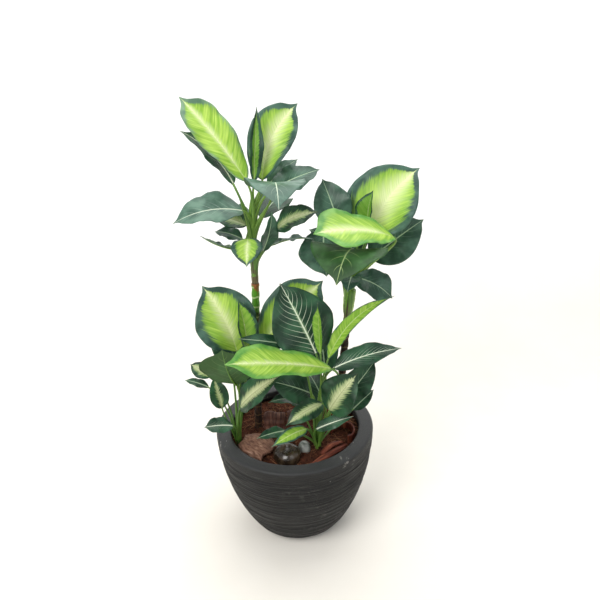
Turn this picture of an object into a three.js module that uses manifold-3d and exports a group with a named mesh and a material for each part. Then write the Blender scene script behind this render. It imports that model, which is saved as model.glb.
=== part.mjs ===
// A potted dieffenbachia: two tall canes and two low clumps of variegated leaves in a
// charcoal planter filled with coir and bark. Millimetres, +Z up, the origin in the middle
// of the planter's foot, +X to the right and -Y to the front.
import * as THREE from "three";
import { mergeVertices } from "three/addons/utils/BufferGeometryUtils.js";
import Module from "manifold-3d";

const wasm = await Module();
wasm.setup();

// ---------- driving dimensions ----------
const potRadius = 230; // outside of the rim
const potHeight = 335;
const rimInner = 188; // radius of the opening
const rimDepth = 26; // height of the turned-in lip
const potWall = 9;
const footRadius = 118; // where the body would meet the floor with no rounding
const footRound = 32; // radius of the rounding above the foot
const grooveDepth = 1.8;
const grooveCount = 9;
const potSides = 30;

const soilLevel = 304; // height of the filling at its edge
const soilDome = 14; // how much higher it is in the middle
const gap = 0.3; // clearance between pieces that touch
const socketGap = 0.7; // clearance round the bark and the stones

const caneRadius = 11.5;
const ringSpacing = 29; // distance between leaf scars on a cane
const standSides = 9; // facets round canes and stems
const rootDepth = 60; // how deep canes and stems stand in the filling

const bladeTop = 0.6; // upper half of a blade's thickness
const bladeUnder = 0.6; // lower half
const ribUnder = 1.3; // how far the midrib stands out below, at the stalk
const stalkRadius = 3.4;

// ---------- finishes ----------
function finish(color, roughness) {
  return new THREE.MeshStandardMaterial({ color, roughness, metalness: 0, side: THREE.DoubleSide });
}

const potPlastic = finish("#3d3c3b", 0.62);
const coir = finish("#4a2f22", 0.95);
const paleBark = finish("#8a6a55", 0.8);
const darkBark = finish("#4b2c24", 0.75);
const redBark = finish("#8a4526", 0.8);
const darkStone = finish("#54443b", 0.35);
const greyStone = finish("#8b918f", 0.4);
const caneBark = finish("#4b3a28", 0.8);
const stemGreen = finish("#6f9a2c", 0.5);
const leafColours = {
  bright: finish("#b9dd62", 0.42),
  feather: finish("#5d7d4f", 0.42),
  dark: finish("#2f5a45", 0.4),
};

// ---------- solids and meshes ----------
const part = new THREE.Group();

function toSolid(geometry) {
  const clean = geometry.clone();
  clean.deleteAttribute("normal");
  clean.deleteAttribute("uv");
  const merged = mergeVertices(clean, 1e-4);
  const vertProperties = new Float32Array(merged.attributes.position.array);
  const triVerts = new Uint32Array(merged.index.array);
  return new wasm.Manifold(new wasm.Mesh({ numProp: 3, vertProperties, triVerts }));
}

function toGeometry(solid) {
  const mesh = solid.getMesh();
  const geometry = new THREE.BufferGeometry();
  geometry.setAttribute("position", new THREE.BufferAttribute(new Float32Array(mesh.vertProperties), 3));
  geometry.setIndex(new THREE.BufferAttribute(new Uint32Array(mesh.triVerts), 1));
  return geometry;
}

function addPiece(name, geometry, material) {
  const mesh = new THREE.Mesh(geometry, material);
  mesh.name = name;
  part.add(mesh);
}

function union(solids) {
  return solids.reduce((sum, solid) => sum.add(solid));
}

function vector(list) {
  return new THREE.Vector3(...list);
}

// a repeatable draw between 0 and 1
function makeDraw(seed) {
  let state = seed;
  return function draw() {
    state = (state * 1664525 + 1013904223) % 4294967296;
    return state / 4294967296;
  };
}

// a lathe turned about +Z; points are [radius, height]
function turned(points, sides) {
  const profile = points.map(([radius, height]) => new THREE.Vector2(radius, height));
  const geometry = new THREE.LatheGeometry(profile, sides);
  geometry.rotateX(Math.PI / 2);
  return geometry;
}

// ---------- planter ----------
// outside radius at a height, without the grooves
function potOutline(height) {
  const down = 1 - height / potHeight;
  let radius = footRadius + (potRadius - footRadius) * (1 - down ** 1.85) ** 0.8;
  if (height < footRound) {
    radius -= footRound - Math.sqrt(footRound ** 2 - (footRound - height) ** 2);
  }
  return radius;
}

// radius of the inside, which is straight under the lip
function insideRadius(height) {
  return Math.min(potOutline(height) - potWall, rimInner + 14);
}

function potShell() {
  const points = [[0, 0], [potOutline(0), 0]];
  const grooveTop = potHeight - 22;
  const grooveFoot = 14;
  const steps = grooveCount * 2;
  for (let i = 0; i <= steps; i += 1) {
    const height = grooveFoot + (grooveTop - grooveFoot) * (i / steps);
    const cut = i % 2 === 1 ? grooveDepth : 0;
    points.push([potOutline(height) - cut, height]);
  }
  // the rim: rounded outer edge, flat top, rounded inner edge, lip underside
  points.push([potRadius - 1.5, potHeight - 8]);
  points.push([potRadius - 5, potHeight - 1.5]);
  points.push([potRadius - 12, potHeight]);
  points.push([rimInner + 5, potHeight]);
  points.push([rimInner, potHeight - 5]);
  points.push([rimInner, potHeight - rimDepth]);
  points.push([insideRadius(270), potHeight - rimDepth]);
  // the inside, down to the floor
  for (const height of [270, 180, 100, 45]) {
    points.push([insideRadius(height), height]);
  }
  points.push([potOutline(24) - potWall - 12, potWall]);
  points.push([0, potWall]);
  return turned(points, potSides);
}

// ---------- filling of coir ----------
function fillingTop(x, y) {
  const out = Math.hypot(x, y) / potRadius;
  const swell = 2.5 * Math.sin(x / 23 + 1) * Math.cos(y / 27) + 1.5 * Math.sin(y / 11 + x / 17);
  return soilLevel + soilDome * (1 - 1.4 * out * out) + swell;
}

function fillingBody() {
  const floor = potWall + gap;
  const points = [[0, floor], [potOutline(24) - potWall - 12.5, floor]];
  for (const height of [45, 100, 180, 270]) {
    points.push([insideRadius(height) - 2 * gap, height]);
  }
  const edge = insideRadius(270) - 2 * gap;
  points.push([edge, soilLevel - 3]);
  for (const radius of [165, 120, 75, 30]) {
    points.push([radius, soilLevel]);
  }
  points.push([0, soilLevel]);
  const geometry = turned(points, potSides);
  const position = geometry.attributes.position;
  for (let i = 0; i < position.count; i += 1) {
    if (position.getZ(i) > soilLevel - 1) {
      position.setZ(i, fillingTop(position.getX(i), position.getY(i)));
    }
  }
  return toSolid(geometry);
}

// ---------- bark and stones on the filling ----------
// a rounded stone; grow makes its socket
function stone(spec, grow) {
  const geometry = new THREE.IcosahedronGeometry(1, spec.detail);
  const position = geometry.attributes.position;
  const point = new THREE.Vector3();
  for (let i = 0; i < position.count; i += 1) {
    point.fromBufferAttribute(position, i);
    const bump = 1 + 0.07 * Math.sin(3 * point.x + spec.seed) + 0.06 * Math.cos(4 * point.y + 2 * spec.seed);
    const squared = 1 - 0.1 * Math.abs(point.x * point.y);
    position.setXYZ(
      i,
      point.x * bump * squared * (spec.size[0] / 2 + grow),
      point.y * bump * squared * (spec.size[1] / 2 + grow),
      point.z * bump * (spec.size[2] / 2 + grow),
    );
  }
  geometry.rotateZ(spec.yaw);
  geometry.translate(...spec.at);
  return toSolid(geometry);
}

// a piece of bark: a plate bent across its length, with an uneven outline and grooves along it
function bark(spec, grow) {
  const [length, width, thick] = spec.size;
  const geometry = new THREE.BoxGeometry(2, 2, 2, spec.steps, spec.columns, 1);
  const position = geometry.attributes.position;
  for (let i = 0; i < position.count; i += 1) {
    const u = position.getX(i);
    const v = position.getY(i);
    const w = position.getZ(i);
    const taper = 1 - spec.taper * u * u;
    const ragged = 1 + 0.07 * Math.sin(5 * v + spec.seed);
    const uneven = 1 + 0.08 * Math.sin(4 * u + 2 * spec.seed);
    const groove = w > 0 ? spec.groove * Math.cos(3 * Math.PI * v) : 0;
    const lift = spec.bend * (1 - v * v) + spec.curve * (1 - u * u);
    position.setXYZ(
      i,
      u * (length / 2) * ragged + u * grow,
      v * (width / 2) * taper * uneven + v * grow,
      w * (thick / 2 + grow) + lift + groove,
    );
  }
  geometry.rotateX(spec.roll);
  geometry.rotateY(spec.pitch);
  geometry.rotateZ(spec.yaw);
  geometry.translate(...spec.at);
  return toSolid(geometry);
}

// a shell of bark rolled round a hollow, standing on the filling
function barkCurl(spec, grow) {
  const outer = spec.radius + grow;
  const inner = spec.radius - spec.thick - grow;
  const shape = new THREE.Shape();
  const start = spec.start - grow / spec.radius;
  const end = spec.end + grow / spec.radius;
  shape.absarc(0, 0, outer, start, end, false);
  shape.absarc(0, 0, inner, end, start, true);
  const geometry = new THREE.ExtrudeGeometry(shape, {
    depth: spec.height + 2 * grow,
    bevelEnabled: false,
    curveSegments: 8,
  });
  geometry.translate(0, 0, -grow);
  geometry.rotateX(spec.lean);
  geometry.translate(...spec.at);
  return toSolid(geometry);
}

const looseBits = [
  {
    name: "stone_dark", make: stone, material: darkStone, seed: 2, detail: 2,
    size: [88, 72, 62], yaw: 0.2, at: [-21, -131, 319],
  },
  {
    name: "stone_grey", make: stone, material: greyStone, seed: 4, detail: 1,
    size: [34, 40, 46], yaw: -0.5, at: [27, -93, 314],
  },
  {
    name: "bark_slab_pale", make: bark, material: paleBark, seed: 1,
    size: [106, 92, 13], steps: 5, columns: 4, taper: 0.22, groove: 1.2, bend: 12, curve: 7,
    roll: 0.1, pitch: -0.04, yaw: -0.85, at: [-106, -79, 312],
  },
  {
    name: "bark_standing_left", make: bark, material: darkBark, seed: 5,
    size: [64, 62, 9], steps: 4, columns: 4, taper: 0.12, groove: 1.6, bend: 9, curve: 0,
    roll: 1.3, pitch: 0, yaw: -0.15, at: [-59, 14, 332],
  },
  {
    name: "bark_standing_right", make: bark, material: darkBark, seed: 7,
    size: [60, 76, 10], steps: 4, columns: 4, taper: 0.1, groove: 1.8, bend: 11, curve: 0,
    roll: 1.25, pitch: 0, yaw: 0.1, at: [8, 4, 338],
  },
  {
    name: "bark_curl", make: barkCurl, material: redBark, radius: 37, thick: 5, height: 46,
    start: -1.2, end: 2.9, lean: 0.08, at: [138, -34, 290],
  },
  {
    name: "bark_shaving_long", make: bark, material: redBark, seed: 8,
    size: [140, 17, 4], steps: 7, columns: 2, taper: 0.5, groove: 0, bend: 2, curve: 10,
    roll: 0.5, pitch: -0.06, yaw: 0.62, at: [91, -133, 313],
  },
  {
    name: "bark_shaving_short", make: bark, material: redBark, seed: 9,
    size: [84, 22, 4], steps: 5, columns: 2, taper: 0.45, groove: 0, bend: 4, curve: 12,
    roll: -0.2, pitch: 0.05, yaw: 0.7, at: [104, -101, 312.5],
  },
];

// ---------- canes and stems ----------
// places a solid that was made along +Z with its foot at the origin on the line foot-top
function stand(geometry, foot, top) {
  const line = vector(top).sub(vector(foot)).normalize();
  const turn = new THREE.Quaternion().setFromUnitVectors(new THREE.Vector3(0, 0, 1), line);
  geometry.applyQuaternion(turn);
  geometry.translate(...foot);
  return geometry;
}

function distance(a, b) {
  return vector(a).distanceTo(vector(b));
}

// a cane with a raised leaf scar at each ring
function cane(spec) {
  const length = distance(spec.foot, spec.top);
  const points = [[0, 0], [caneRadius, 0]];
  for (let height = rootDepth + 22; height < length - 12; height += ringSpacing) {
    points.push([caneRadius - 0.5, height - 5]);
    points.push([caneRadius + 1.1, height]);
  }
  points.push([caneRadius, length]);
  points.push([0, length]);
  return stand(turned(points, standSides), spec.foot, spec.top);
}

// the plain hole that a cane or a stem stands in
function standHole(spec, radius) {
  const along = vector(spec.top).sub(vector(spec.foot)).normalize();
  const depth = rootDepth * 3;
  const wide = radius + 0.45;
  const geometry = turned([[0, 0], [wide, 0], [wide, depth], [0, depth]], standSides);
  const foot = vector(spec.foot).addScaledVector(along, -gap).toArray();
  return toSolid(stand(geometry, foot, spec.top));
}

const canes = {
  tall_left: { foot: [-112, 20, 250], top: [-85, 20, 775] },
  tall_right: { foot: [126, 40, 250], top: [160, 40, 628] },
};

// the stem of each head: its foot, its top, its radius at foot, middle and top, and how far up
// it the lowest stalk leaves it. spread is how far from the stem's line the stalks start, rise
// how far they follow it, sheath their radius there and wrap how far up they keep some of it.
const heads = {
  tall_left: {
    foot: [-85, 20, 775.9], top: [-84, 20, 955], radii: [10, 11, 9],
    lowest: 0.42, spread: 0, rise: 0.45, sheath: 9, wrap: 0.72, seed: 11,
  },
  tall_right: {
    foot: [160, 40, 628.3], top: [172, 40, 736], radii: [11, 14, 17],
    lowest: 0.4, spread: 0, rise: 0.45, sheath: 8.5, wrap: 0.85, seed: 23,
  },
  low_left: {
    foot: [-166, -42, 250], top: [-165, -43, 330], radii: [14, 12, 9],
    lowest: 0.74, spread: 6, rise: 0.22, sheath: 4.8, wrap: 0.6, seed: 37,
  },
  low_right: {
    foot: [62, -92, 250], top: [63, -92, 330], radii: [14, 12, 9],
    lowest: 0.74, spread: 6, rise: 0.22, sheath: 4.8, wrap: 0.6, seed: 51,
  },
};

function stemColumn(spec) {
  const length = distance(spec.foot, spec.top);
  const [low, middle, high] = spec.radii;
  const points = [
    [0, 0],
    [low, 0],
    [low, 0.3 * length],
    [middle, 0.45 * length],
    [0.75 * middle, 0.75 * length],
    [high, length],
    [0, length],
  ];
  return toSolid(stand(turned(points, standSides), spec.foot, spec.top));
}

// ---------- leaves ----------
// base and tip are the ends of the midrib; face is where the upper side looks.
// arch lifts the middle of the midrib, fold raises the two halves to a V (degrees),
// sway moves it sideways, wave is the height of the ripples at the edge, twist turns the tip
// (degrees), widest is where along it the blade is widest, and from is how far up its head's
// stem the stalk starts. A small leaf is one piece with the stems, the others are their own.
const leaves = {
  tall_left: [
    { kind: "bright", base: [-86, 4, 1055], tip: [-236, 50, 1257],
      width: 102, face: [0.35, -0.75, 0.55], arch: 12, sway: 2, fold: 14, wave: 6, widest: 0.68 },
    { kind: "dark", base: [-118, 0, 1050], tip: [-240, 20, 1182],
      width: 62, face: [0.3, -0.45, 0.8], arch: 10, sway: 12, fold: 12, wave: 4 },
    { kind: "bright", base: [-48, 32, 1050], tip: [50, 90, 1225],
      width: 124, face: [-0.1, -0.9, 0.4], arch: 8, sway: -20, fold: 20, wave: 5, widest: 0.6 },
    { kind: "bright", base: [-68, 8, 1052], tip: [-50, 46, 1226],
      width: 44, face: [0.5, -0.8, 0.2], arch: 6, sway: -4, fold: 30, wave: 3 },
    { kind: "dark", base: [-26, -4, 1013], tip: [-4, -190, 1030],
      width: 145, face: [0.1, -0.12, 1], arch: 48, fold: 4, wave: 5 },
    { kind: "dark", base: [-22, 36, 1025], tip: [100, 80, 1060],
      width: 90, face: [0, -0.5, 0.85], arch: 6, fold: 8, wave: 5 },
    { kind: "dark", base: [-35, 60, 1030], tip: [45, 130, 1080],
      width: 50, face: [-0.3, -0.8, 0.5], arch: 8, fold: 10, wave: 3, small: true },
    { kind: "dark", base: [-99, -10, 984], tip: [-270, -50, 970],
      width: 115, face: [-0.1, -0.45, 0.9], arch: 22, fold: 10, wave: 5 },
    { kind: "feather", base: [-95, 30, 935], tip: [-185, 60, 955],
      width: 60, face: [0, -0.6, 0.8], arch: 8, fold: 10, wave: 3, small: true },
    { kind: "dark", base: [-110, 22, 900], tip: [-185, 50, 915],
      width: 45, face: [0, -0.4, 0.9], arch: 8, fold: 10, wave: 3, small: true },
    { kind: "dark", base: [-115, 18, 875], tip: [-215, -10, 925],
      width: 50, face: [0.1, 0.25, 1], arch: -8, fold: 10, wave: 4, small: true },
    { kind: "bright", base: [-92, -20, 914], tip: [-94, -92, 864],
      width: 80, face: [0, -0.45, 0.9], arch: 10, fold: 4, wave: 3, widest: 0.4, small: true },
    { kind: "dark", base: [-58, -2, 872], tip: [-26, -36, 985],
      width: 54, face: [0.6, -0.75, 0.2], arch: 8, fold: 15, wave: 3, from: 0.1, small: true },
    { kind: "feather", base: [-20, 0, 930], tip: [90, -20, 975],
      width: 78, face: [0, -0.55, 0.85], arch: 14, fold: 10, wave: 4, from: 0.1 },
    { kind: "dark", base: [-30, 14, 885], tip: [76, 8, 895],
      width: 45, face: [0, 0.1, 1], arch: 8, fold: 10, wave: 5, from: 0.1, small: true },
    { kind: "dark", base: [-98, 66, 925], tip: [-190, 205, 905],
      width: 90, face: [-0.1, -0.2, 0.95], arch: 26, fold: 8, wave: 5 },
    { kind: "dark", base: [-58, 55, 945], tip: [14, 195, 955],
      width: 96, face: [0.1, -0.2, 0.95], arch: 26, fold: 8, wave: 5 },
  ],
  tall_right: [
    { kind: "bright", base: [226, 74, 876], tip: [370, 128, 1042],
      width: 205, face: [-0.3, -0.8, 0.55], arch: 14, sway: -14, fold: 18, wave: 6, widest: 0.4 },
    { kind: "bright", base: [222, 57, 910], tip: [236, 58, 1004],
      width: 74, face: [-0.75, -0.6, 0.25], arch: 6, fold: 34, wave: 2 },
    { kind: "bright", base: [284, 2, 892], tip: [72, -104, 944],
      width: 140, face: [0, -0.42, 0.9], arch: 20, fold: 6, wave: 5, widest: 0.76 },
    { kind: "dark", base: [187, -26, 869], tip: [120, -172, 837],
      width: 194, face: [-0.2, -0.5, 0.8], arch: 40, fold: 6, wave: 4 },
    { kind: "dark", base: [150, 70, 905], tip: [108, 130, 1025],
      width: 104, face: [0, -0.9, 0.4], arch: 8, fold: 10, wave: 4 },
    { kind: "dark", base: [235, 90, 806], tip: [384, 118, 902],
      width: 130, face: [0.1, -0.8, 0.6], arch: 14, fold: 8, wave: 5 },
    { kind: "dark", base: [104, 40, 912], tip: [106, -8, 796],
      width: 132, face: [-0.25, -0.85, 0.4], arch: 14, fold: 8, wave: 5, widest: 0.5, from: 0.1 },
    { kind: "dark", base: [140, 60, 865], tip: [65, 80, 900],
      width: 50, face: [0, -0.6, 0.8], arch: 6, fold: 8, wave: 3, small: true },
    { kind: "dark", base: [180, 20, 780], tip: [280, -10, 725],
      width: 88, face: [0.1, -0.6, 0.8], arch: 20, fold: 8, wave: 4, widest: 0.58 },
    { kind: "dark", base: [175, 10, 785], tip: [155, -60, 770],
      width: 60, face: [0, -0.5, 0.85], arch: 15, fold: 6, wave: 3, small: true },
    { kind: "bright", base: [200, 92, 866], tip: [240, 270, 930],
      width: 112, face: [0, -0.2, 0.95], arch: 30, fold: 8, wave: 6 },
    { kind: "dark", base: [176, 70, 812], tip: [192, 205, 838],
      width: 96, face: [0, -0.5, 0.8], arch: 24, fold: 8, wave: 4 },
  ],
  low_left: [
    { kind: "bright", base: [-142, -62, 615], tip: [-220, -30, 795],
      width: 165, face: [0.1, -0.8, 0.6], arch: 14, sway: 10, fold: 14, wave: 6, widest: 0.5 },
    { kind: "bright", base: [-112, -78, 635], tip: [-125, -68, 770],
      width: 70, face: [0.6, -0.8, 0.2], arch: 6, fold: 34, wave: 3 },
    { kind: "bright", base: [-77, -36, 622], tip: [97, 14, 776],
      width: 140, face: [-0.2, -0.85, 0.45], arch: 25, fold: 10, wave: 6, twist: 10, widest: 0.6 },
    { kind: "dark", base: [-150, -80, 525], tip: [-174, -112, 648],
      width: 150, face: [0, 0.75, 0.65], arch: -18, fold: 6, wave: 4, widest: 0.7 },
    { kind: "feather", base: [-230, 0, 505], tip: [-290, 30, 530],
      width: 50, face: [0.3, -0.7, 0.6], arch: 8, fold: 8, wave: 3, small: true },
    { kind: "dark", base: [-240, 0, 470], tip: [-310, 20, 485],
      width: 30, face: [0, -0.3, 1], arch: 5, fold: 8, wave: 2, small: true },
    { kind: "dark", base: [-200, -50, 430], tip: [-220, -20, 515],
      width: 55, face: [0.3, -0.8, 0.5], arch: 8, fold: 10, wave: 3, small: true },
    { kind: "dark", base: [-170, -80, 390], tip: [-245, -110, 410],
      width: 50, face: [0, -0.5, 0.85], arch: 8, fold: 8, wave: 4, widest: 0.58 },
    { kind: "feather", base: [-145, -80, 450], tip: [-20, -160, 595],
      width: 85, face: [-0.3, -0.6, 0.75], arch: 14, fold: 12, wave: 4 },
    { kind: "dark", base: [-140, -40, 460], tip: [-90, -60, 560],
      width: 60, face: [0, -0.8, 0.5], arch: 6, fold: 8, wave: 3, small: true },
    { kind: "dark", base: [-170, 10, 520], tip: [-205, 150, 590],
      width: 90, face: [0, -0.3, 0.95], arch: 22, fold: 8, wave: 5 },
    { kind: "feather", base: [-132, 48, 470], tip: [-50, 135, 520],
      width: 75, face: [0, -0.3, 0.95], arch: 18, fold: 8, wave: 4 },
  ],
  low_right: [
    { kind: "dark", base: [69, -81, 606], tip: [-18, -33, 794],
      width: 168, face: [0.15, -0.85, 0.5], arch: 14, fold: 10, wave: 5 },
    { kind: "bright", base: [107, -122, 582], tip: [-156, -217, 662],
      width: 110, face: [0, -0.32, 0.95], arch: 12, fold: 8, wave: 6, widest: 0.76 },
    { kind: "bright", base: [80, -92, 610], tip: [77, -96, 760],
      width: 34, face: [-0.5, -0.8, 0], arch: 0, fold: 36, wave: 0, widest: 0.6 },
    { kind: "bright", base: [100, -90, 595], tip: [280, -50, 750],
      width: 45, face: [0.4, -0.4, 0.8], arch: 12, sway: -26, fold: 34, wave: 4, widest: 0.32 },
    { kind: "dark", base: [115, -80, 560], tip: [300, -60, 600],
      width: 72, face: [0, -0.4, 0.9], arch: 14, fold: 12, wave: 4 },
    { kind: "feather", base: [97, -128, 458], tip: [174, -136, 574],
      width: 108, face: [-0.3, -0.75, 0.6], arch: 12, fold: 10, wave: 5 },
    { kind: "dark", base: [145, -50, 440], tip: [235, -20, 545],
      width: 80, face: [0.1, -0.8, 0.5], arch: 10, fold: 10, wave: 4 },
    { kind: "dark", base: [170, -20, 385], tip: [235, 10, 430],
      width: 40, face: [0.1, -0.7, 0.7], arch: 6, fold: 8, wave: 3, small: true },
    { kind: "dark", base: [60, -128, 400], tip: [160, -148, 450],
      width: 38, face: [0, -0.6, 0.8], arch: 8, fold: 10, wave: 3, small: true },
    { kind: "feather", base: [80, -110, 470], tip: [-20, -170, 445],
      width: 60, face: [0.1, -0.5, 0.85], arch: 16, fold: 8, wave: 4 },
    { kind: "dark", base: [50, -50, 466], tip: [-60, -84, 532],
      width: 90, face: [0, -0.7, 0.7], arch: 12, fold: 8, wave: 4 },
    { kind: "dark", base: [15, -70, 440], tip: [-65, -110, 480],
      width: 45, face: [0, -0.3, 1], arch: 20, fold: 8, wave: 3, small: true },
    { kind: "bright", base: [35, -110, 390], tip: [-60, -190, 395],
      width: 40, face: [0.1, -0.5, 0.85], arch: 15, fold: 8, wave: 3 },
    { kind: "dark", base: [-25, -100, 380], tip: [-100, -150, 395],
      width: 35, face: [0, -0.5, 0.85], arch: 6, fold: 8, wave: 3, small: true },
    { kind: "dark", base: [-8, -72, 634], tip: [-130, -124, 684],
      width: 40, face: [0, -0.75, 0.65], arch: 8, fold: 6, wave: 3 },
    { kind: "dark", base: [94, -40, 520], tip: [78, 120, 600],
      width: 90, face: [0.1, -0.4, 0.9], arch: 22, fold: 8, wave: 5 },
    { kind: "dark", base: [88, -50, 430], tip: [40, 70, 470],
      width: 70, face: [0, -0.3, 0.95], arch: 16, fold: 8, wave: 4 },
  ],
};

// half-width along the blade, from the stalk at 0 to the tip at 1, as a share of the widest
function outline(t, widest) {
  if (t < widest) {
    return (1 - (1 - t / widest) ** 2) ** 0.62;
  }
  const s = (t - widest) / (1 - widest);
  return (1 - s ** 1.9) ** 1.1;
}

// the curve of the midrib and the direction that the upper side looks
function midribOf(leaf) {
  const base = vector(leaf.base);
  const tip = vector(leaf.tip);
  const along = tip.clone().sub(base).normalize();
  const face = vector(leaf.face);
  face.addScaledVector(along, -face.dot(along)).normalize();
  const side = new THREE.Vector3().crossVectors(along, face);
  const middle = base.clone().lerp(tip, 0.5).addScaledVector(face, 2 * leaf.arch);
  middle.addScaledVector(side, 2 * (leaf.sway ?? 0));
  return { curve: new THREE.QuadraticBezierCurve3(base, middle, tip), face };
}

// a point of the blade: t runs along the midrib, u across from -1 to 1
function bladePoint(leaf, midrib, t, u, lift) {
  const centre = midrib.curve.getPoint(t);
  const along = midrib.curve.getTangent(t);
  const up = midrib.face.clone();
  up.addScaledVector(along, -up.dot(along)).normalize();
  up.applyAxisAngle(along, THREE.MathUtils.degToRad((leaf.twist ?? 0) * t));
  const side = new THREE.Vector3().crossVectors(along, up);
  const share = outline(t, leaf.widest ?? 0.42);
  const half = Math.max((leaf.width / 2) * share, t < 0.5 ? 2.4 : 0.9);
  const fold = THREE.MathUtils.degToRad(leaf.fold);
  const ripple = leaf.wave * Math.sin(2 * Math.PI * (2.3 * t + leaf.phase + (u < 0 ? 0.37 : 0)));
  const rise = half * Math.abs(u) * Math.sin(fold) + ripple * u * u * share;
  return centre.addScaledVector(side, half * u * Math.cos(fold)).addScaledVector(up, rise + lift);
}

// a closed thin plate: the same grid above and below, split into triangles alike
function bladeGeometry(leaf) {
  const midrib = midribOf(leaf);
  const long = distance(leaf.base, leaf.tip) > 150;
  const rows = long ? 7 : 5;
  const columns = leaf.width > 55 ? 4 : 2;
  const positions = [];
  for (const side of [1, -1]) {
    for (let i = 0; i <= rows; i += 1) {
      for (let j = 0; j <= columns; j += 1) {
        const t = i / rows;
        const u = (2 * j) / columns - 1;
        const rib = u === 0 ? ribUnder * (1 - t) : 0;
        const lift = side > 0 ? bladeTop : -bladeUnder - rib;
        positions.push(...bladePoint(leaf, midrib, t, u, lift).toArray());
      }
    }
  }
  const index = [];
  const wide = columns + 1;
  const under = (rows + 1) * wide;
  const quad = (a, b, c, d) => index.push(a, b, c, a, c, d);
  for (let i = 0; i < rows; i += 1) {
    for (let j = 0; j < columns; j += 1) {
      const a = i * wide + j;
      quad(a, a + 1, a + 1 + wide, a + wide);
      index.push(under + a, under + a + 1 + wide, under + a + 1);
      index.push(under + a, under + a + wide, under + a + 1 + wide);
    }
  }
  for (let i = 0; i < rows; i += 1) {
    const left = i * wide;
    const right = left + columns;
    quad(left, left + wide, under + left + wide, under + left);
    quad(right + wide, right, under + right, under + right + wide);
  }
  for (let j = 0; j < columns; j += 1) {
    const end = rows * wide + j;
    quad(j + 1, j, under + j, under + j + 1);
    quad(end, end + 1, under + end + 1, under + end);
  }
  const geometry = new THREE.BufferGeometry();
  geometry.setAttribute("position", new THREE.Float32BufferAttribute(positions, 3));
  geometry.setIndex(index);
  return geometry;
}

// a solid round rod bent along a curve, with a radius that changes along it
function rod(curve, radiusAt, sides, steps) {
  const geometry = new THREE.CylinderGeometry(1, 1, 1, sides, steps);
  const frames = curve.computeFrenetFrames(steps);
  const position = geometry.attributes.position;
  for (let i = 0; i < position.count; i += 1) {
    const step = Math.round((0.5 - position.getY(i)) * steps);
    const point = curve.getPointAt(step / steps);
    const radius = radiusAt(step / steps);
    point.addScaledVector(frames.normals[step], radius * position.getX(i));
    point.addScaledVector(frames.binormals[step], radius * position.getZ(i));
    position.setXYZ(i, point.x, point.y, point.z);
  }
  return toSolid(geometry);
}

// the stalk from its head's stem to the blade
function stalk(leaf, head, draw) {
  const foot = vector(head.foot);
  const top = vector(head.top);
  const base = vector(leaf.base);
  const { curve } = midribOf(leaf);
  const out = curve.getTangent(0);
  const share = leaf.from ?? head.lowest + (0.95 - head.lowest) * draw();
  const start = foot.clone().lerp(top, share);
  const aside = base.clone().sub(start).setZ(0).normalize();
  start.addScaledVector(aside, head.spread);
  const reach = start.distanceTo(base);
  const stemLine = top.clone().sub(foot).normalize();
  const end = base.clone().addScaledVector(out, leaf.small ? 2 : -gap);
  const path = new THREE.CubicBezierCurve3(
    start,
    start.clone().addScaledVector(stemLine, head.rise * reach),
    end.clone().addScaledVector(out, -0.3 * reach),
    end,
  );
  // the lower part is the sheath that wraps the stem
  const extra = head.sheath - stalkRadius;
  const radiusAt = (t) => stalkRadius + extra * Math.max(0, 1 - (t / head.wrap) ** 2);
  // a small leaf has a plainer stalk
  const [sides, steps] = leaf.small ? [4, 3] : [5, 4];
  return rod(path, radiusAt, sides, steps);
}

// ---------- putting it together ----------
addPiece("planter", potShell(), potPlastic);

let filling = fillingBody();
for (const spec of Object.values(canes)) {
  filling = filling.subtract(standHole(spec, caneRadius));
}
for (const name of ["low_left", "low_right"]) {
  filling = filling.subtract(standHole(heads[name], heads[name].radii[0]));
}
for (const spec of looseBits) {
  filling = filling.subtract(spec.make(spec, socketGap));
}
addPiece("coir_filling", toGeometry(filling), coir);
for (const spec of looseBits) {
  addPiece(spec.name, toGeometry(spec.make(spec, 0)), spec.material);
}
for (const [name, spec] of Object.entries(canes)) {
  addPiece(`cane_${name}`, cane(spec), caneBark);
}

for (const [name, head] of Object.entries(heads)) {
  const draw = makeDraw(head.seed);
  const solids = [stemColumn(head)];
  leaves[name].forEach((leaf, index) => {
    leaf.phase = draw();
    solids.push(stalk(leaf, head, draw));
    if (leaf.small) {
      solids.push(toSolid(bladeGeometry(leaf)));
    } else {
      const number = String(index + 1).padStart(2, "0");
      addPiece(`leaf_${name}_${number}`, bladeGeometry(leaf), leafColours[leaf.kind]);
    }
  });
  addPiece(`stems_${name}`, toGeometry(union(solids)), stemGreen);
}

export default part;
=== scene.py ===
import math
import random

import bmesh
import bpy
from mathutils import Matrix, Quaternion, Vector, noise


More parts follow.
